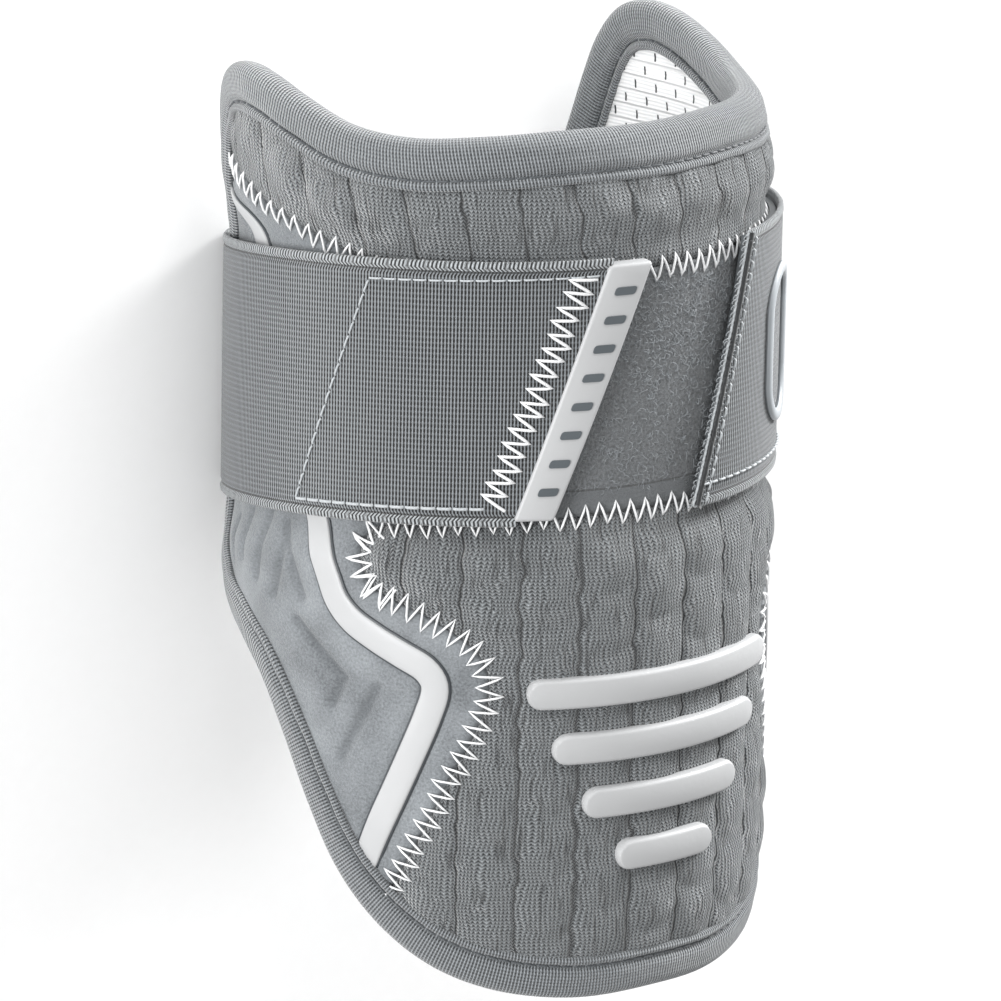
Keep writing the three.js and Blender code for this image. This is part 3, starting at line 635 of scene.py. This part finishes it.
def dress(piece, material, slot, *replaced):
    """Gives a piece its finish, hangs it on the root body, and hides the plain parts that it replaces."""
    piece.data.materials.clear()
    piece.data.materials.append(material)
    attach(piece, "root")
    if replaced:
        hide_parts(*replaced)
    piece.data.calc_loop_triangles()
    print(piece.name, len(piece.data.loop_triangles), "triangles")
    return piece


def quilted(quilt):
    def relief(patch, full, outline):
        away = ramp(distance_to(patch, outline), 1.5, 7)
        pressed = under_strap(patch[..., 0], patch[..., 1], 0, 5)
        return quilt["depth"] * blisters(patch, quilt) * away * (1 - pressed)
    return relief


upper_sides = (upper_hem, mirrored(edge_stretch(42, 44)), edge_stretch(-8, 8), edge_stretch(42, 44))
lower_sides = (edge_stretch(30, 22), mirrored(lower_seam), band_bottom, lower_seam)
for word, sides, quilt in (("upper", upper_sides, UPPER_QUILT), ("lower", lower_sides, LOWER_QUILT)):
    panel = padded_panel(f"knit_{word}", sides, quilted(quilt))
    dress(panel, knitted(f"polyester jersey, {word}", quilt), "knit", f"{word}_knit_panel")

# %% [markdown]
# ## The foam side panels
# The side panels are one smooth sheet of moulded foam. Shallow hollows are pressed into them, and the
# white strip is let into a groove that runs from the wing's tip to the tongue.

# %% Side panels
HOLLOWS = [
    ((0.804, 0.505), (0.803, 0.447)), ((0.733, 0.515), (0.747, 0.434)), ((0.671, 0.490), (0.694, 0.424)),
    ((0.681, 0.508), (0.625, 0.432)), ((0.636, 0.403), (0.537, 0.349), (0.559, 0.316)),
    ((0.477, 0.344), (0.540, 0.255)), ((0.860, 0.480), (0.850, 0.435)),
]
ACCENT_ROWS = [
    (0.870, 0.862), (0.778, 0.832), (0.730, 0.772), (0.680, 0.690), (0.640, 0.605), (0.605, 0.525),
    (0.568, 0.464), (0.552, 0.440), (0.526, 0.421), (0.483, 0.404), (0.436, 0.388), (0.398, 0.374),
    (0.383, 0.360), (0.381, 0.347), (0.392, 0.319), (0.416, 0.274), (0.444, 0.225), (0.481, 0.163),
]
ACCENT_WIDTH = 5.2
FOAM_GRID = 0.7


def accent_line(side, count=200):
    return smooth_line(on_pattern(ACCENT_ROWS, side))(np.linspace(0, 1, count))


def hollow(patch, side):
    """How deep the moulded hollows are, from 0 to 1."""
    deep = np.zeros(patch.shape[:-1])
    for row in HOLLOWS:
        away = distance_to(patch, on_pattern(row, side))
        deep = np.maximum(deep, 0.3 * (1 - ramp(away, 0, 5)) + 0.7 * (1 - ramp(away, 0, 1.7)))
    return deep


def foam_relief(side):
    def relief(patch, full, outline):
        beside = np.abs(distance_to(patch, accent_line(side, 60)) - ACCENT_WIDTH / 2)
        groove = 0.35 * (1 - ramp(beside, 0.3, 1.3))
        return -1.3 * hollow(patch, side) * (0.5 + 0.5 * full) - groove
    return relief


def side_sides(side):
    right = np.vstack([lower_seam, band_end[1:]])
    left, bottom, top = edge_stretch(31, 42), edge_stretch(31, 30, 60), upper_seam
    if side < 0:
        return bottom, right, top, left
    return mirrored(bottom)[::-1], mirrored(left), mirrored(top)[::-1], mirrored(right)


for side, word in ((-1, "left"), (1, "right")):
    panel = padded_panel(f"foam_{word}", side_sides(side), foam_relief(side), FOAM_GRID)
    # The hollows' depth is kept on the points, for the painted shade in the foam finish.
    deep = hollow(filled(*side_sides(side), FOAM_GRID)[0], side).ravel()
    pressed = panel.data.attributes.new("pressed", "FLOAT", "POINT")
    pressed.data.foreach_set("value", np.tile(deep, 2))
    dress(panel, foam_finish, "moulded_foam", f"{word}_side_panel")

# %% [markdown]
# ## The loop band
# A band of brushed loops is let in across the front, for the hooks to grip. It is a flat strip, 1.9 mm
# below the pads, with short loops that stand up from it.

# %% Loop band
band_patch, band_outline = filled(band_bottom, mirrored(band_end), band_top, band_end, 0.9)
x, y = np.moveaxis(band_patch, -1, 0)
tufts = np.sin(x * 2.3) * np.sin(y * 2.9 + x) + np.sin(x * 0.9 + 2 * np.sin(y * 0.5))
band_skin = OUTER_RADIUS - 1.9 + 0.05 * tufts - seam_sink(band_patch, band_outline, 1.2, 0.5)
loop_band = shell("loop_band_pile", rolled(band_patch, band_skin),
                  rolled(band_patch, LINING_RADIUS + 0.15), band_patch)
dress(loop_band, pile_finish, "loop_pile", "loop_band")

# %% [markdown]
# ## The lining
# Inside, a white mesh with short slits in staggered rows is laid over 3 mm of foam. The slits are drawn
# by the finish, and the mesh carries the soft rows between them.

# %% Lining
lining_sides = (edge_stretch(32, 20), mirrored(edge_stretch(32, 44)), edge_stretch(-8, 8),
                edge_stretch(32, 44))
lining_patch = filled(*lining_sides, 1.2)[0]
rows = 0.12 * np.cos(lining_patch[..., 1] * 2 * math.pi / LINING_ROW)
lining_outside = rolled(lining_patch, LINING_RADIUS - 0.15)
lining_skin = rolled(lining_patch, lining_inside(lining_patch) - rows)
lining = shell("slit_lining", lining_outside, lining_skin, lining_patch)
dress(lining, lining_finish, "lining_mesh", "mesh_lining")

# %% [markdown]
# ## The edge tape
# A ribbed tape is folded over the raw edge of all the layers and sewn through, with a narrow hem inside
# the stitches. Its section is written as distances in from the edge line and out from the arm, and is
# carried all the way round.

# %% Edge tape
TAPE_STEPS = 620


def tape_frame(count):
    """Even points of the edge line, and the direction in towards the pads at each."""
    line = even(edge_loop(np.arange(4000) / 4000), count, closed=True)
    return line, square_to(np.roll(line, 1, axis=0) - np.roll(line, -1, axis=0))


tape_line, tape_inward = tape_frame(TAPE_STEPS)
HEM = [(5.6, -0.2), (5.6, 0.5), (5.3, 1.0), (4.8, 1.25), (4.3, 1.15), (3.9, 0.6), (3.5, 0.45),
       (3.1, 0.8), (2.5, 1.3), (1.6, 1.45), (0.8, 1.35)]
tape_rings = []  # from the hem on the outside, round the edge, to the hem on the inside
share = np.arange(TAPE_STEPS) * 2 * math.pi / TAPE_STEPS
wave_along = 0.07 * (np.sin(share * 67) + np.sin(share * 23 + 1.3))
for face in (1, -1):
    for inward, lift in HEM[::face]:
        points = tape_line + inward * tape_inward
        full = fullness(points)
        skin = pad_radius(points, full) if face > 0 else lining_inside(points, full)
        tape_rings.append(rolled(points, skin + face * (lift + wave_along * (lift > 0.3))))
    if face > 0:
        for angle in np.radians(np.arange(90, -91, -12)):
            points = tape_line - BEAD_RADIUS * math.cos(angle) * tape_inward
            tape_rings.append(rolled(points, STACK_RADIUS + BEAD_RADIUS * math.sin(angle)))
for lift in (-2.425, 2.425):
    tape_rings.append(rolled(tape_line - 1.4 * tape_inward, STACK_RADIUS + lift))
tape_rings = np.stack(tape_rings)
index = np.arange(tape_rings[..., 0].size).reshape(-1, TAPE_STEPS)
tape_faces = quads(np.pad(index, ((0, 1), (0, 1)), "wrap"))
tape_width = np.concatenate([[0], np.cumsum(np.linalg.norm(
    np.diff(tape_rings, axis=0), axis=2).mean(axis=1))]) * 1000
closed_edge = np.vstack([tape_line, tape_line[:1]])
whole_ribs = round(length_of(closed_edge) / TAPE_RIB) * TAPE_RIB
rib_place = np.linspace(0, whole_ribs, TAPE_STEPS, endpoint=False)
tape_uv = np.stack(np.meshgrid(rib_place, tape_width), -1)
tape = new_piece("edge_tape", tape_rings, tape_faces, tape_uv)
tape_corners = tape.data.uv_layers["pattern_mm"].data
for face in range(TAPE_STEPS - 1, len(tape_faces), TAPE_STEPS):  # where the ring closes
    for corner in (2, 3):
        tape_corners[4 * face + corner].uv.x = whole_ribs
dress(tape, tape_finish, "binding_tape", "edge_binding")

# %% [markdown]
# ## The strap
# The strap is one belt of woven elastic, 50.8 mm wide, that runs behind the arm and ends in two slanted
# cuts at the front. It follows the hooks at the front and the edge tape at the wings, and is taut and
# straight across the back. Its two faces and rounded edges are made as one closed sleeve.

# %% Strap
STRAP_CORNER_CENTRE = STACK_RADIUS - 0.5
CORNER_RADIUS = STRAP_BACK_RADIUS - STRAP_CORNER_CENTRE


def end_turn(ends, up):
    """The turn of one of the strap's slanted ends, at these mm up from the strap's centre line."""
    top, bottom = ends
    return np.radians(bottom + (top - bottom) * (np.asarray(up) / STRAP_WIDTH + 0.5))


def strap_inside(turn):
    share = ramp(np.abs(np.degrees(turn)), 75, 125)
    return STRAP_FRONT_RADIUS + (STRAP_BACK_RADIUS - STRAP_FRONT_RADIUS) * share


def round_arm(radius, turn, along):
    return np.stack([radius * np.sin(turn), along - PATTERN_MIDDLE + 0 * turn,
                     radius * np.cos(turn) + AXIS_HEIGHT], -1) / 1000


def on_strap(turn, up, out):
    """A place on the front or side of the strap: a turn, mm up from its centre line, mm off its face."""
    along = STRAP_HEIGHT - strap_drop(turn) + up
    return round_arm(strap_inside(turn) + STRAP_THICKNESS + out, turn, along)


def strap_half(side, across, out, front_steps=200):
    """One half, from its end to the middle of the back. across and out run round the section."""
    up = across - STRAP_WIDTH / 2
    end = np.abs(end_turn(LEFT_END if side < 0 else RIGHT_END, up))
    turn = end + np.linspace(0, 1, front_steps)[:, None] * (WING_TURN - end)
    front = round_arm(strap_inside(turn) + out, side * turn, STRAP_HEIGHT - strap_drop(turn) + up)
    along = (STRAP_HEIGHT - STRAP_DROP + up - PATTERN_MIDDLE) / 1000
    heading = np.linspace(WING_TURN, math.pi, 9)[1:, None]
    bend = CORNER_RADIUS + out
    x = STRAP_CORNER_CENTRE * math.sin(WING_TURN) + bend * np.sin(heading)
    z = STRAP_CORNER_CENTRE * math.cos(WING_TURN) + bend * np.cos(heading) + AXIS_HEIGHT
    corner = np.stack([side * x / 1000, along + 0 * x, z / 1000], -1)
    straight = [corner[-1] + (-side * inward / 1000, 0, 0.0003 * ramp(inward, 0, 3))
                for inward in (1.5, 3, 8, 16, 24)]
    return np.concatenate([front, corner, straight])


COLUMNS = 66  # points across its outside
across = np.linspace(0.35, STRAP_WIDTH - 0.35, COLUMNS)
from_edge = np.minimum(across, STRAP_WIDTH - across)
ridge = 0.12 * np.exp(-((from_edge - 0.9) / 0.5) ** 2) - 0.22 * np.exp(-((from_edge - SELVAGE) / 0.3) ** 2)
out = np.concatenate([STRAP_THICKNESS - 0.12 + ridge, [0.85, 0.35], 0 * across[::-4], [0.35, 0.85]])
across = np.concatenate([across, [STRAP_WIDTH, STRAP_WIDTH], across[::-4], [0, 0]])
left_half, right_half = strap_half(-1, across, out), strap_half(1, across, out)
strap_rings = np.concatenate([left_half, right_half[::-1]])
stations, around = strap_rings.shape[:2]
steps = np.linalg.norm(np.diff(strap_rings, axis=0), axis=2) * 1000
travelled = np.vstack([np.zeros(around), np.cumsum(steps, axis=0)])
from_back = travelled - travelled[stations // 2]
nearest = np.abs(across[:, None] - across[None, :COLUMNS]).argmin(axis=1)
from_back = from_back[:, nearest]  # so that the weave runs straight round both edges
index = np.arange(stations * around).reshape(stations, around)
strap_faces = [*quads(np.pad(index, ((0, 0), (0, 1)), "wrap")), index[0, ::-1], index[-1]]
strap_uv = np.stack([from_back, np.tile(across, (stations, 1))], -1)
strap = new_piece("elastic_belt", strap_rings, strap_faces, strap_uv)
select(strap)
bpy.ops.object.mode_set(mode="EDIT")
bpy.ops.mesh.select_all(action="SELECT")
bpy.ops.mesh.normals_make_consistent(inside=False)
bpy.ops.object.mode_set(mode="OBJECT")
dress(strap, elastic_finish, "elastic", "elastic_strap")

# %% [markdown]
# ## Rubber trim
# The ribs, the ring and the tab are moulded silicone. Each is modelled flat with Blender's own tools, as
# it comes out of its mould, cut into short steps and then laid round the arm.

# %% Laying flat pieces round the arm


def flat_box(name, width, length, thickness, bevels):
    """A box on the work top, in mm, with its upper edges rounded in edit mode."""
    bpy.ops.mesh.primitive_cube_add(size=1, location=(0, 0, thickness / 2),
                                    scale=(width, length, thickness))
    box = bpy.context.object
    box.name = name
    bpy.ops.object.transform_apply(location=True, rotation=True, scale=True)
    for picks, offset, segments in bevels:
        bpy.ops.object.mode_set(mode="EDIT")
        bpy.ops.mesh.select_all(action="DESELECT")
        bpy.ops.mesh.select_mode(type="EDGE")
        mesh = bmesh.from_edit_mesh(box.data)
        for edge in mesh.edges:
            a, b = (v.co for v in edge.verts)
            edge.select_set(picks(a, b, thickness))
        bmesh.update_edit_mesh(box.data)
        bpy.ops.mesh.bevel(offset=offset, segments=segments)
        bpy.ops.object.mode_set(mode="OBJECT")
    return box


def upright_edges(a, b, thickness):
    return abs(a.z - b.z) > thickness / 2


def upper_edges(a, b, thickness):
    return min(a.z, b.z) > thickness - 1e-4


def cut_in_steps(piece, axis, step):
    """Bisects a piece at even distances, so that it can bend."""
    places = [v.co[axis] for v in piece.data.vertices]
    low, size = min(places), max(places) - min(places)
    normal = Vector((axis == 0, axis == 1, axis == 2))
    bpy.ops.object.mode_set(mode="EDIT")
    for k in range(1, int(size / step)):
        bpy.ops.mesh.select_all(action="SELECT")
        bpy.ops.mesh.bisect(plane_co=normal * (low + k * size / int(size / step)), plane_no=normal)
    bpy.ops.object.mode_set(mode="OBJECT")


def lay(piece, place):
    """Moves every point of a flat piece to its place on the guard."""
    flat = np.empty(len(piece.data.vertices) * 3)
    piece.data.vertices.foreach_get("co", flat)
    piece.data.vertices.foreach_set("co", place(flat.reshape(-1, 3)).ravel())
    piece.data.update()
    select(piece)
    bpy.ops.object.shade_smooth_by_angle(angle=math.radians(40))
    return piece


# %% Ribs over the elbow
for number, share in enumerate((1, 0.83, 0.62, 0.38)):
    rib = flat_box(f"elbow_rib_{number + 1}", 58 * share, 6, 1.9,
                   [(upright_edges, 2.9, 6), (upper_edges, 0.8, 3)])
    cut_in_steps(rib, 0, 1.6)
    height = 62 - 11 * number

    def on_elbow(flat):
        points = flat[:, :2] + (0, height)
        crown = 0.35 * (1 - (flat[:, 1] / 3) ** 2) * (flat[:, 2] > 1.5)
        return rolled(points, pad_radius(points) + 0.45 + flat[:, 2] + crown)

    lay(rib, on_elbow)
    dress(rib, white_rubber, "white_rubber", f"impact_rib_{number + 1}")

# %% Pull tab
tab = flat_box("pull_tab_rubber", 8.2, 48.6, 2.7, [(upright_edges, 0.8, 3), (upper_edges, 0.7, 3)])
cut_in_steps(tab, 1, 2.5)


def as_tab(flat):
    """Tapers the tab towards its lower end and lets its left side rest on the strap's cut end."""
    high = flat[:, 1] / 24.3
    aside = 3.35 + 0.45 * high + flat[:, 0] * (1 + 0.09 * high)
    turn = end_turn(LEFT_END, flat[:, 1]) + aside / OUTER_RADIUS
    return round_arm(51.3 + flat[:, 2], turn, STRAP_HEIGHT - strap_drop(turn) + flat[:, 1])


lay(tab, as_tab)
dress(tab, white_rubber, "white_rubber", "pull_tab")

# %% Grip bars on the tab
bars = []
for number in range(8):
    bar = flat_box(f"tab_bar_{number + 1}", 3.9, 1.5, 0.5, [(upright_edges, 0.5, 3)])
    cut_in_steps(bar, 0, 1.3)
    bar.data.transform(Matrix.Translation((0.5, 19.2 - 5.4 * number, 2.35)))
    bars.append(lay(bar, as_tab))
select(*bars)
bpy.ops.object.join()
bars[0].name = "tab_grip_bars"
dress(bars[0], dark_rubber, "grey_rubber")

# %% Ring on the right end
RING_TURN = math.radians(42)
bpy.ops.mesh.primitive_torus_add(major_segments=64, minor_segments=12, major_radius=8.3, minor_radius=1.2)
ring = bpy.context.object
ring.name = "grip_ring_rubber"
bpy.ops.object.mode_set(mode="EDIT")
for direction in (1, -1):
    mesh = bmesh.from_edit_mesh(ring.data)
    for vertex in mesh.verts:
        vertex.select_set(direction * vertex.co.y > 1e-4)
    mesh.select_flush(True)
    bmesh.update_edit_mesh(ring.data)
    bpy.ops.transform.translate(value=(0, direction * 6.0, 0))
bpy.ops.mesh.select_all(action="SELECT")
bpy.ops.transform.resize(value=(1, 1, 0.6))
bpy.ops.object.mode_set(mode="OBJECT")


def on_right_end(flat):
    turn = RING_TURN + flat[:, 0] / OUTER_RADIUS
    up = flat[:, 1] - strap_drop(RING_TURN) + strap_drop(turn)
    return on_strap(turn, up, 0.3 + flat[:, 2])


lay(ring, on_right_end)
dress(ring, grey_rubber, "grey_rubber", "grip_ring")

# %% White strips


def strip_along(name, side, extra, lifts, material, slot, *replaced):
    """A flat strip along the accent line, this much wider on both sides than the white one."""
    line = accent_line(side, 400)
    tail = line[-1] + np.linspace(0.1, 4.6, 12)[:, None] * (line[-1] - line[-12]) / length_of(line[-12:])
    line = even(np.vstack([line, tail]), 160)
    sideways = square_to(np.gradient(line, axis=0)) * side
    width = 2 + (ACCENT_WIDTH - 2) * ramp(np.linspace(0, 1, 160), 0, 0.12) + 2 * extra
    offsets = np.array([-1, -1, -0.93, -0.8, -0.4, 0, 0.4, 0.8, 0.93, 1, 1]) / 2
    flat = line[None] + offsets[:, None, None] * (width[:, None] * sideways)[None]
    under_hem = 1 - ramp(distance_to(flat, closed_edge[::4]), 4.7, 5.5)
    places = rolled(flat, pad_radius(flat) + np.array(lifts)[:, None] - 1.2 * under_hem)
    index = np.arange(flat[..., 0].size).reshape(flat.shape[:2])
    faces = [*quads(index)[:, DOWNWARD if side < 0 else UPWARD], index[::side, 0], index[::-side, -1]]
    return dress(new_piece(name, places, faces), material, slot, *replaced)


for side, word in ((-1, "left"), (1, "right")):
    crown = (-0.4, 0.25, 0.42, 0.5, 0.53, 0.54, 0.53, 0.5, 0.42, 0.25, -0.4)
    strip_along(f"white_strip_{word}", side, 0, crown, white_rubber, "white_rubber",
                f"{word}_accent_strip")
    # A dark rubber bead runs along both edges of each white strip.
    bead = (-0.5, 0.0, 0.1, 0.1, 0.0, 0.0, 0.0, 0.1, 0.1, 0.0, -0.5)
    strip_along(f"strip_border_{word}", side, 0.42, bead, border_rubber, "grey_rubber")

# %% Hooks under the strap's ends
for word in ("left", "right"):
    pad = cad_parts[f"{word}_hook_pad"]
    pad.data.materials.clear()
    pad.data.materials.append(hook_finish)

# %% [markdown]
# ## Stitching
# Every seam is covered by a white zigzag of thick spun thread. The needle holes are laid out on the
# pattern, and a fine round thread is run through them as a curve, which is then turned into a mesh.

# %% Laying thread


def sew(name, runs, radius, material, slot, sides=1):
    """Runs thread along lists of places in metres. radius is in mm."""
    data = bpy.data.curves.new(name, "CURVE")
    data.dimensions = "3D"
    data.bevel_depth = radius / 1000
    data.bevel_resolution = sides
    data.use_fill_caps = True
    for run in runs:
        spline = data.splines.new("POLY")
        spline.points.add(len(run) - 1)
        spline.points.foreach_set("co", np.hstack([run, np.ones((len(run), 1))]).ravel())
    select(placed(name, data))
    bpy.ops.object.convert(target="MESH")
    bpy.ops.object.shade_smooth()
    return dress(bpy.context.object, material, slot)


hand = np.random.default_rng(11)


def zigzag(line, width, pitch, steps=4):
    """A zigzag along a line on the pattern, and how high each of its points stands."""
    spots = even(line, 2 * int(length_of(line) / pitch) + 1)
    swing = np.where(np.arange(len(spots)) % 2, 0.5, -0.5)[:, None] * width
    uneven = 1 + 0.08 * np.sin(np.arange(len(spots)) * 2.4)[:, None]
    holes = spots + swing * uneven * square_to(np.gradient(spots, axis=0))
    holes += hand.normal(0, 0.14, holes.shape)
    share = np.arange(steps) / steps
    path = holes[:-1, None] + share[None, :, None] * (holes[1:] - holes[:-1])[:, None]
    lift = np.where(share == 0, -0.15, 0.3)
    return np.vstack([path.reshape(-1, 2), holes[-1:]]), np.append(np.tile(lift, len(spots) - 1), -0.15)


def dashes(line, pitch, stitch):
    """Straight stitches along a line on the pattern: a list of short runs with their heights."""
    count = int(length_of(line) / pitch)
    fine = even(line, count * 10 + 1)
    last = round(10 * stitch / pitch)
    lift = np.array([-0.2] + [0.12] * (last - 1) + [-0.2])
    return [(fine[10 * k:10 * k + last + 1], lift) for k in range(count)]


# %% Zigzag seams
SEAM_THREAD = 0.23


def over_seam(line, width, pitch):
    path, lift = zigzag(line, width, pitch)
    return rolled(path, pad_radius(path) + 0.12 + lift)


def corner_stitches(line):
    """The seam's last part, round the corner at the band, is sewn over twice."""
    return over_seam(line[way_along(line) > length_of(line) - 19], 5.2, 2.9)


sew("zigzag_upper", [over_seam(upper_hem, 4.4, 3.2)], SEAM_THREAD, white_thread, "knit")
sew("zigzag_band", [over_seam(band_bottom, 4.4, 3.2)], SEAM_THREAD, white_thread, "knit")
halves = (lower_seam, mirrored(lower_seam))
lower_runs = [over_seam(half, 5.4, 3.0) for half in halves] + [corner_stitches(half) for half in halves]
sew("zigzag_lower", lower_runs, SEAM_THREAD, white_thread, "knit")

# %% Stitches in the edge tape
groove_line, groove_inward = tape_frame(1600)
tape_runs, inner_runs = [], []
for run, lift in dashes(groove_line + 3.7 * groove_inward, 2.5, 2.0):
    full = fullness(run)
    tape_runs.append(rolled(run, pad_radius(run, full) + 0.62 + lift))
    inner_runs.append(rolled(run, lining_inside(run, full) - 0.62 - lift))
sew("lockstitch_outside", tape_runs, 0.24, dark_thread, "binding_tape")
sew("lockstitch_inside", inner_runs, 0.24, dark_thread, "binding_tape", sides=0)

# %% Stitches in the strap


def strap_run(path, lift):
    """Thread on the strap. A point is its mm across the front and its mm up from the centre line."""
    return on_strap(path[:, 0] / OUTER_RADIUS, path[:, 1], 0.1 + lift)


def beside_end(ends, shift, low, high, count=80):
    """A line on the strap along one of its ends, shifted this many mm to the right."""
    up = np.linspace(low, high, count)
    return np.stack([OUTER_RADIUS * end_turn(ends, up) + shift, up], 1)


bar_line = beside_end(LEFT_END, np.linspace(-5.9, -4.9, 80), -21.3, 22.6)
sew("zigzag_bar", [strap_run(*zigzag(bar_line, 5.0, 2.75))], 0.32, white_thread, "elastic")

box_top = np.array([[-60, 21.6], [-16.5, 22.4]])
box_side = np.array([[-76, -22.3], [-60, 21.6]])
box_bottom = np.array([[-76, -22.3], [-37, -21.8]])
for name, lines, radius in (("box_stitch", (box_top, box_side), 0.2),
                            ("box_stitch_below", (box_bottom,), 0.3)):
    box_runs = [strap_run(run, lift) for line in lines for run, lift in dashes(even(line, 60), 2.8, 2.1)]
    sew(name, box_runs, radius, pale_thread, "elastic")

for name, shift, jitter, lift, radius, yarn, sides in (
        ("cut_edge_cord", 0.2, 0.05, -0.3, 0.6, black_thread, 2),
        ("cut_edge_binding", -0.6, 0.06, -0.5, 0.26, pale_thread, 1)):
    line = beside_end(RIGHT_END, shift, -25.0, 25.0, 200) + hand.normal(0, jitter, (200, 2))
    sew(name, [strap_run(line, lift)], radius, yarn, "elastic", sides)
curls = []
for up in np.linspace(-24.6, 24.6, 46) + hand.normal(0, 0.15, 46):
    turning = np.linspace(-0.6, 1.1, 7) * math.pi
    reach = 0.8 + 0.35 * hand.normal()
    circle = np.stack([OUTER_RADIUS * end_turn(RIGHT_END, up) - 1.5 - reach * np.cos(turning) / 2,
                       up + 0.45 * np.sin(turning) + 0.1 * hand.normal()], 1)
    curls.append(strap_run(circle, -0.55 + 0.25 * np.sin(turning)))
    curls.append(strap_run(circle + (2.5 + 0.15 * hand.normal(), 0.3), 0.05 + 0.12 * np.sin(turning)))
sew("cut_edge_loops", curls, 0.09, grey_thread, "elastic", sides=0)

right_lines = (beside_end(RIGHT_END, 2.2, -24.5, 24.5),
               np.stack([np.linspace(7, 75, 80), np.full(80, -21.0)], 1))
right_runs = [strap_run(run, lift) for line in right_lines for run, lift in dashes(line, 2.3, 1.7)]
sew("right_end_stitch", right_runs, 0.24, pale_thread, "elastic")

# %% [markdown]
# ## Loose loops
# Where the loop band lies open between the strap's ends, single loops stand out of the pile, more of
# them near the top where it has been pulled.

# %% Loops
rng = np.random.default_rng(7)


def loop_of(x, y, angle, length, height, bend):
    t = np.linspace(0, 1, 6)
    along = length * (t - 0.5)
    aside = bend * np.sin(math.pi * t)
    flat = np.stack([x + along * math.cos(angle) - aside * math.sin(angle),
                     y + along * math.sin(angle) + aside * math.cos(angle)], 1)
    return rolled(flat, OUTER_RADIUS - 1.95 + height * np.sin(math.pi * t) ** 0.7)


LOOP_COUNT = 1700
loops = []
while len(loops) < LOOP_COUNT:
    x, y = rng.uniform(-31, 19), rng.uniform(99.5, 140.5)
    thick = 0.35 + 0.65 * ramp(y, 110, 134)
    if rng.random() < thick:
        loops.append(loop_of(x, y, rng.uniform(0, math.pi), rng.uniform(0.7, 1.9),
                             rng.uniform(0.15, 0.55), rng.uniform(-0.8, 0.8)))
sew("loose_loops", loops, 0.045, grey_thread, "loop_pile", sides=0)
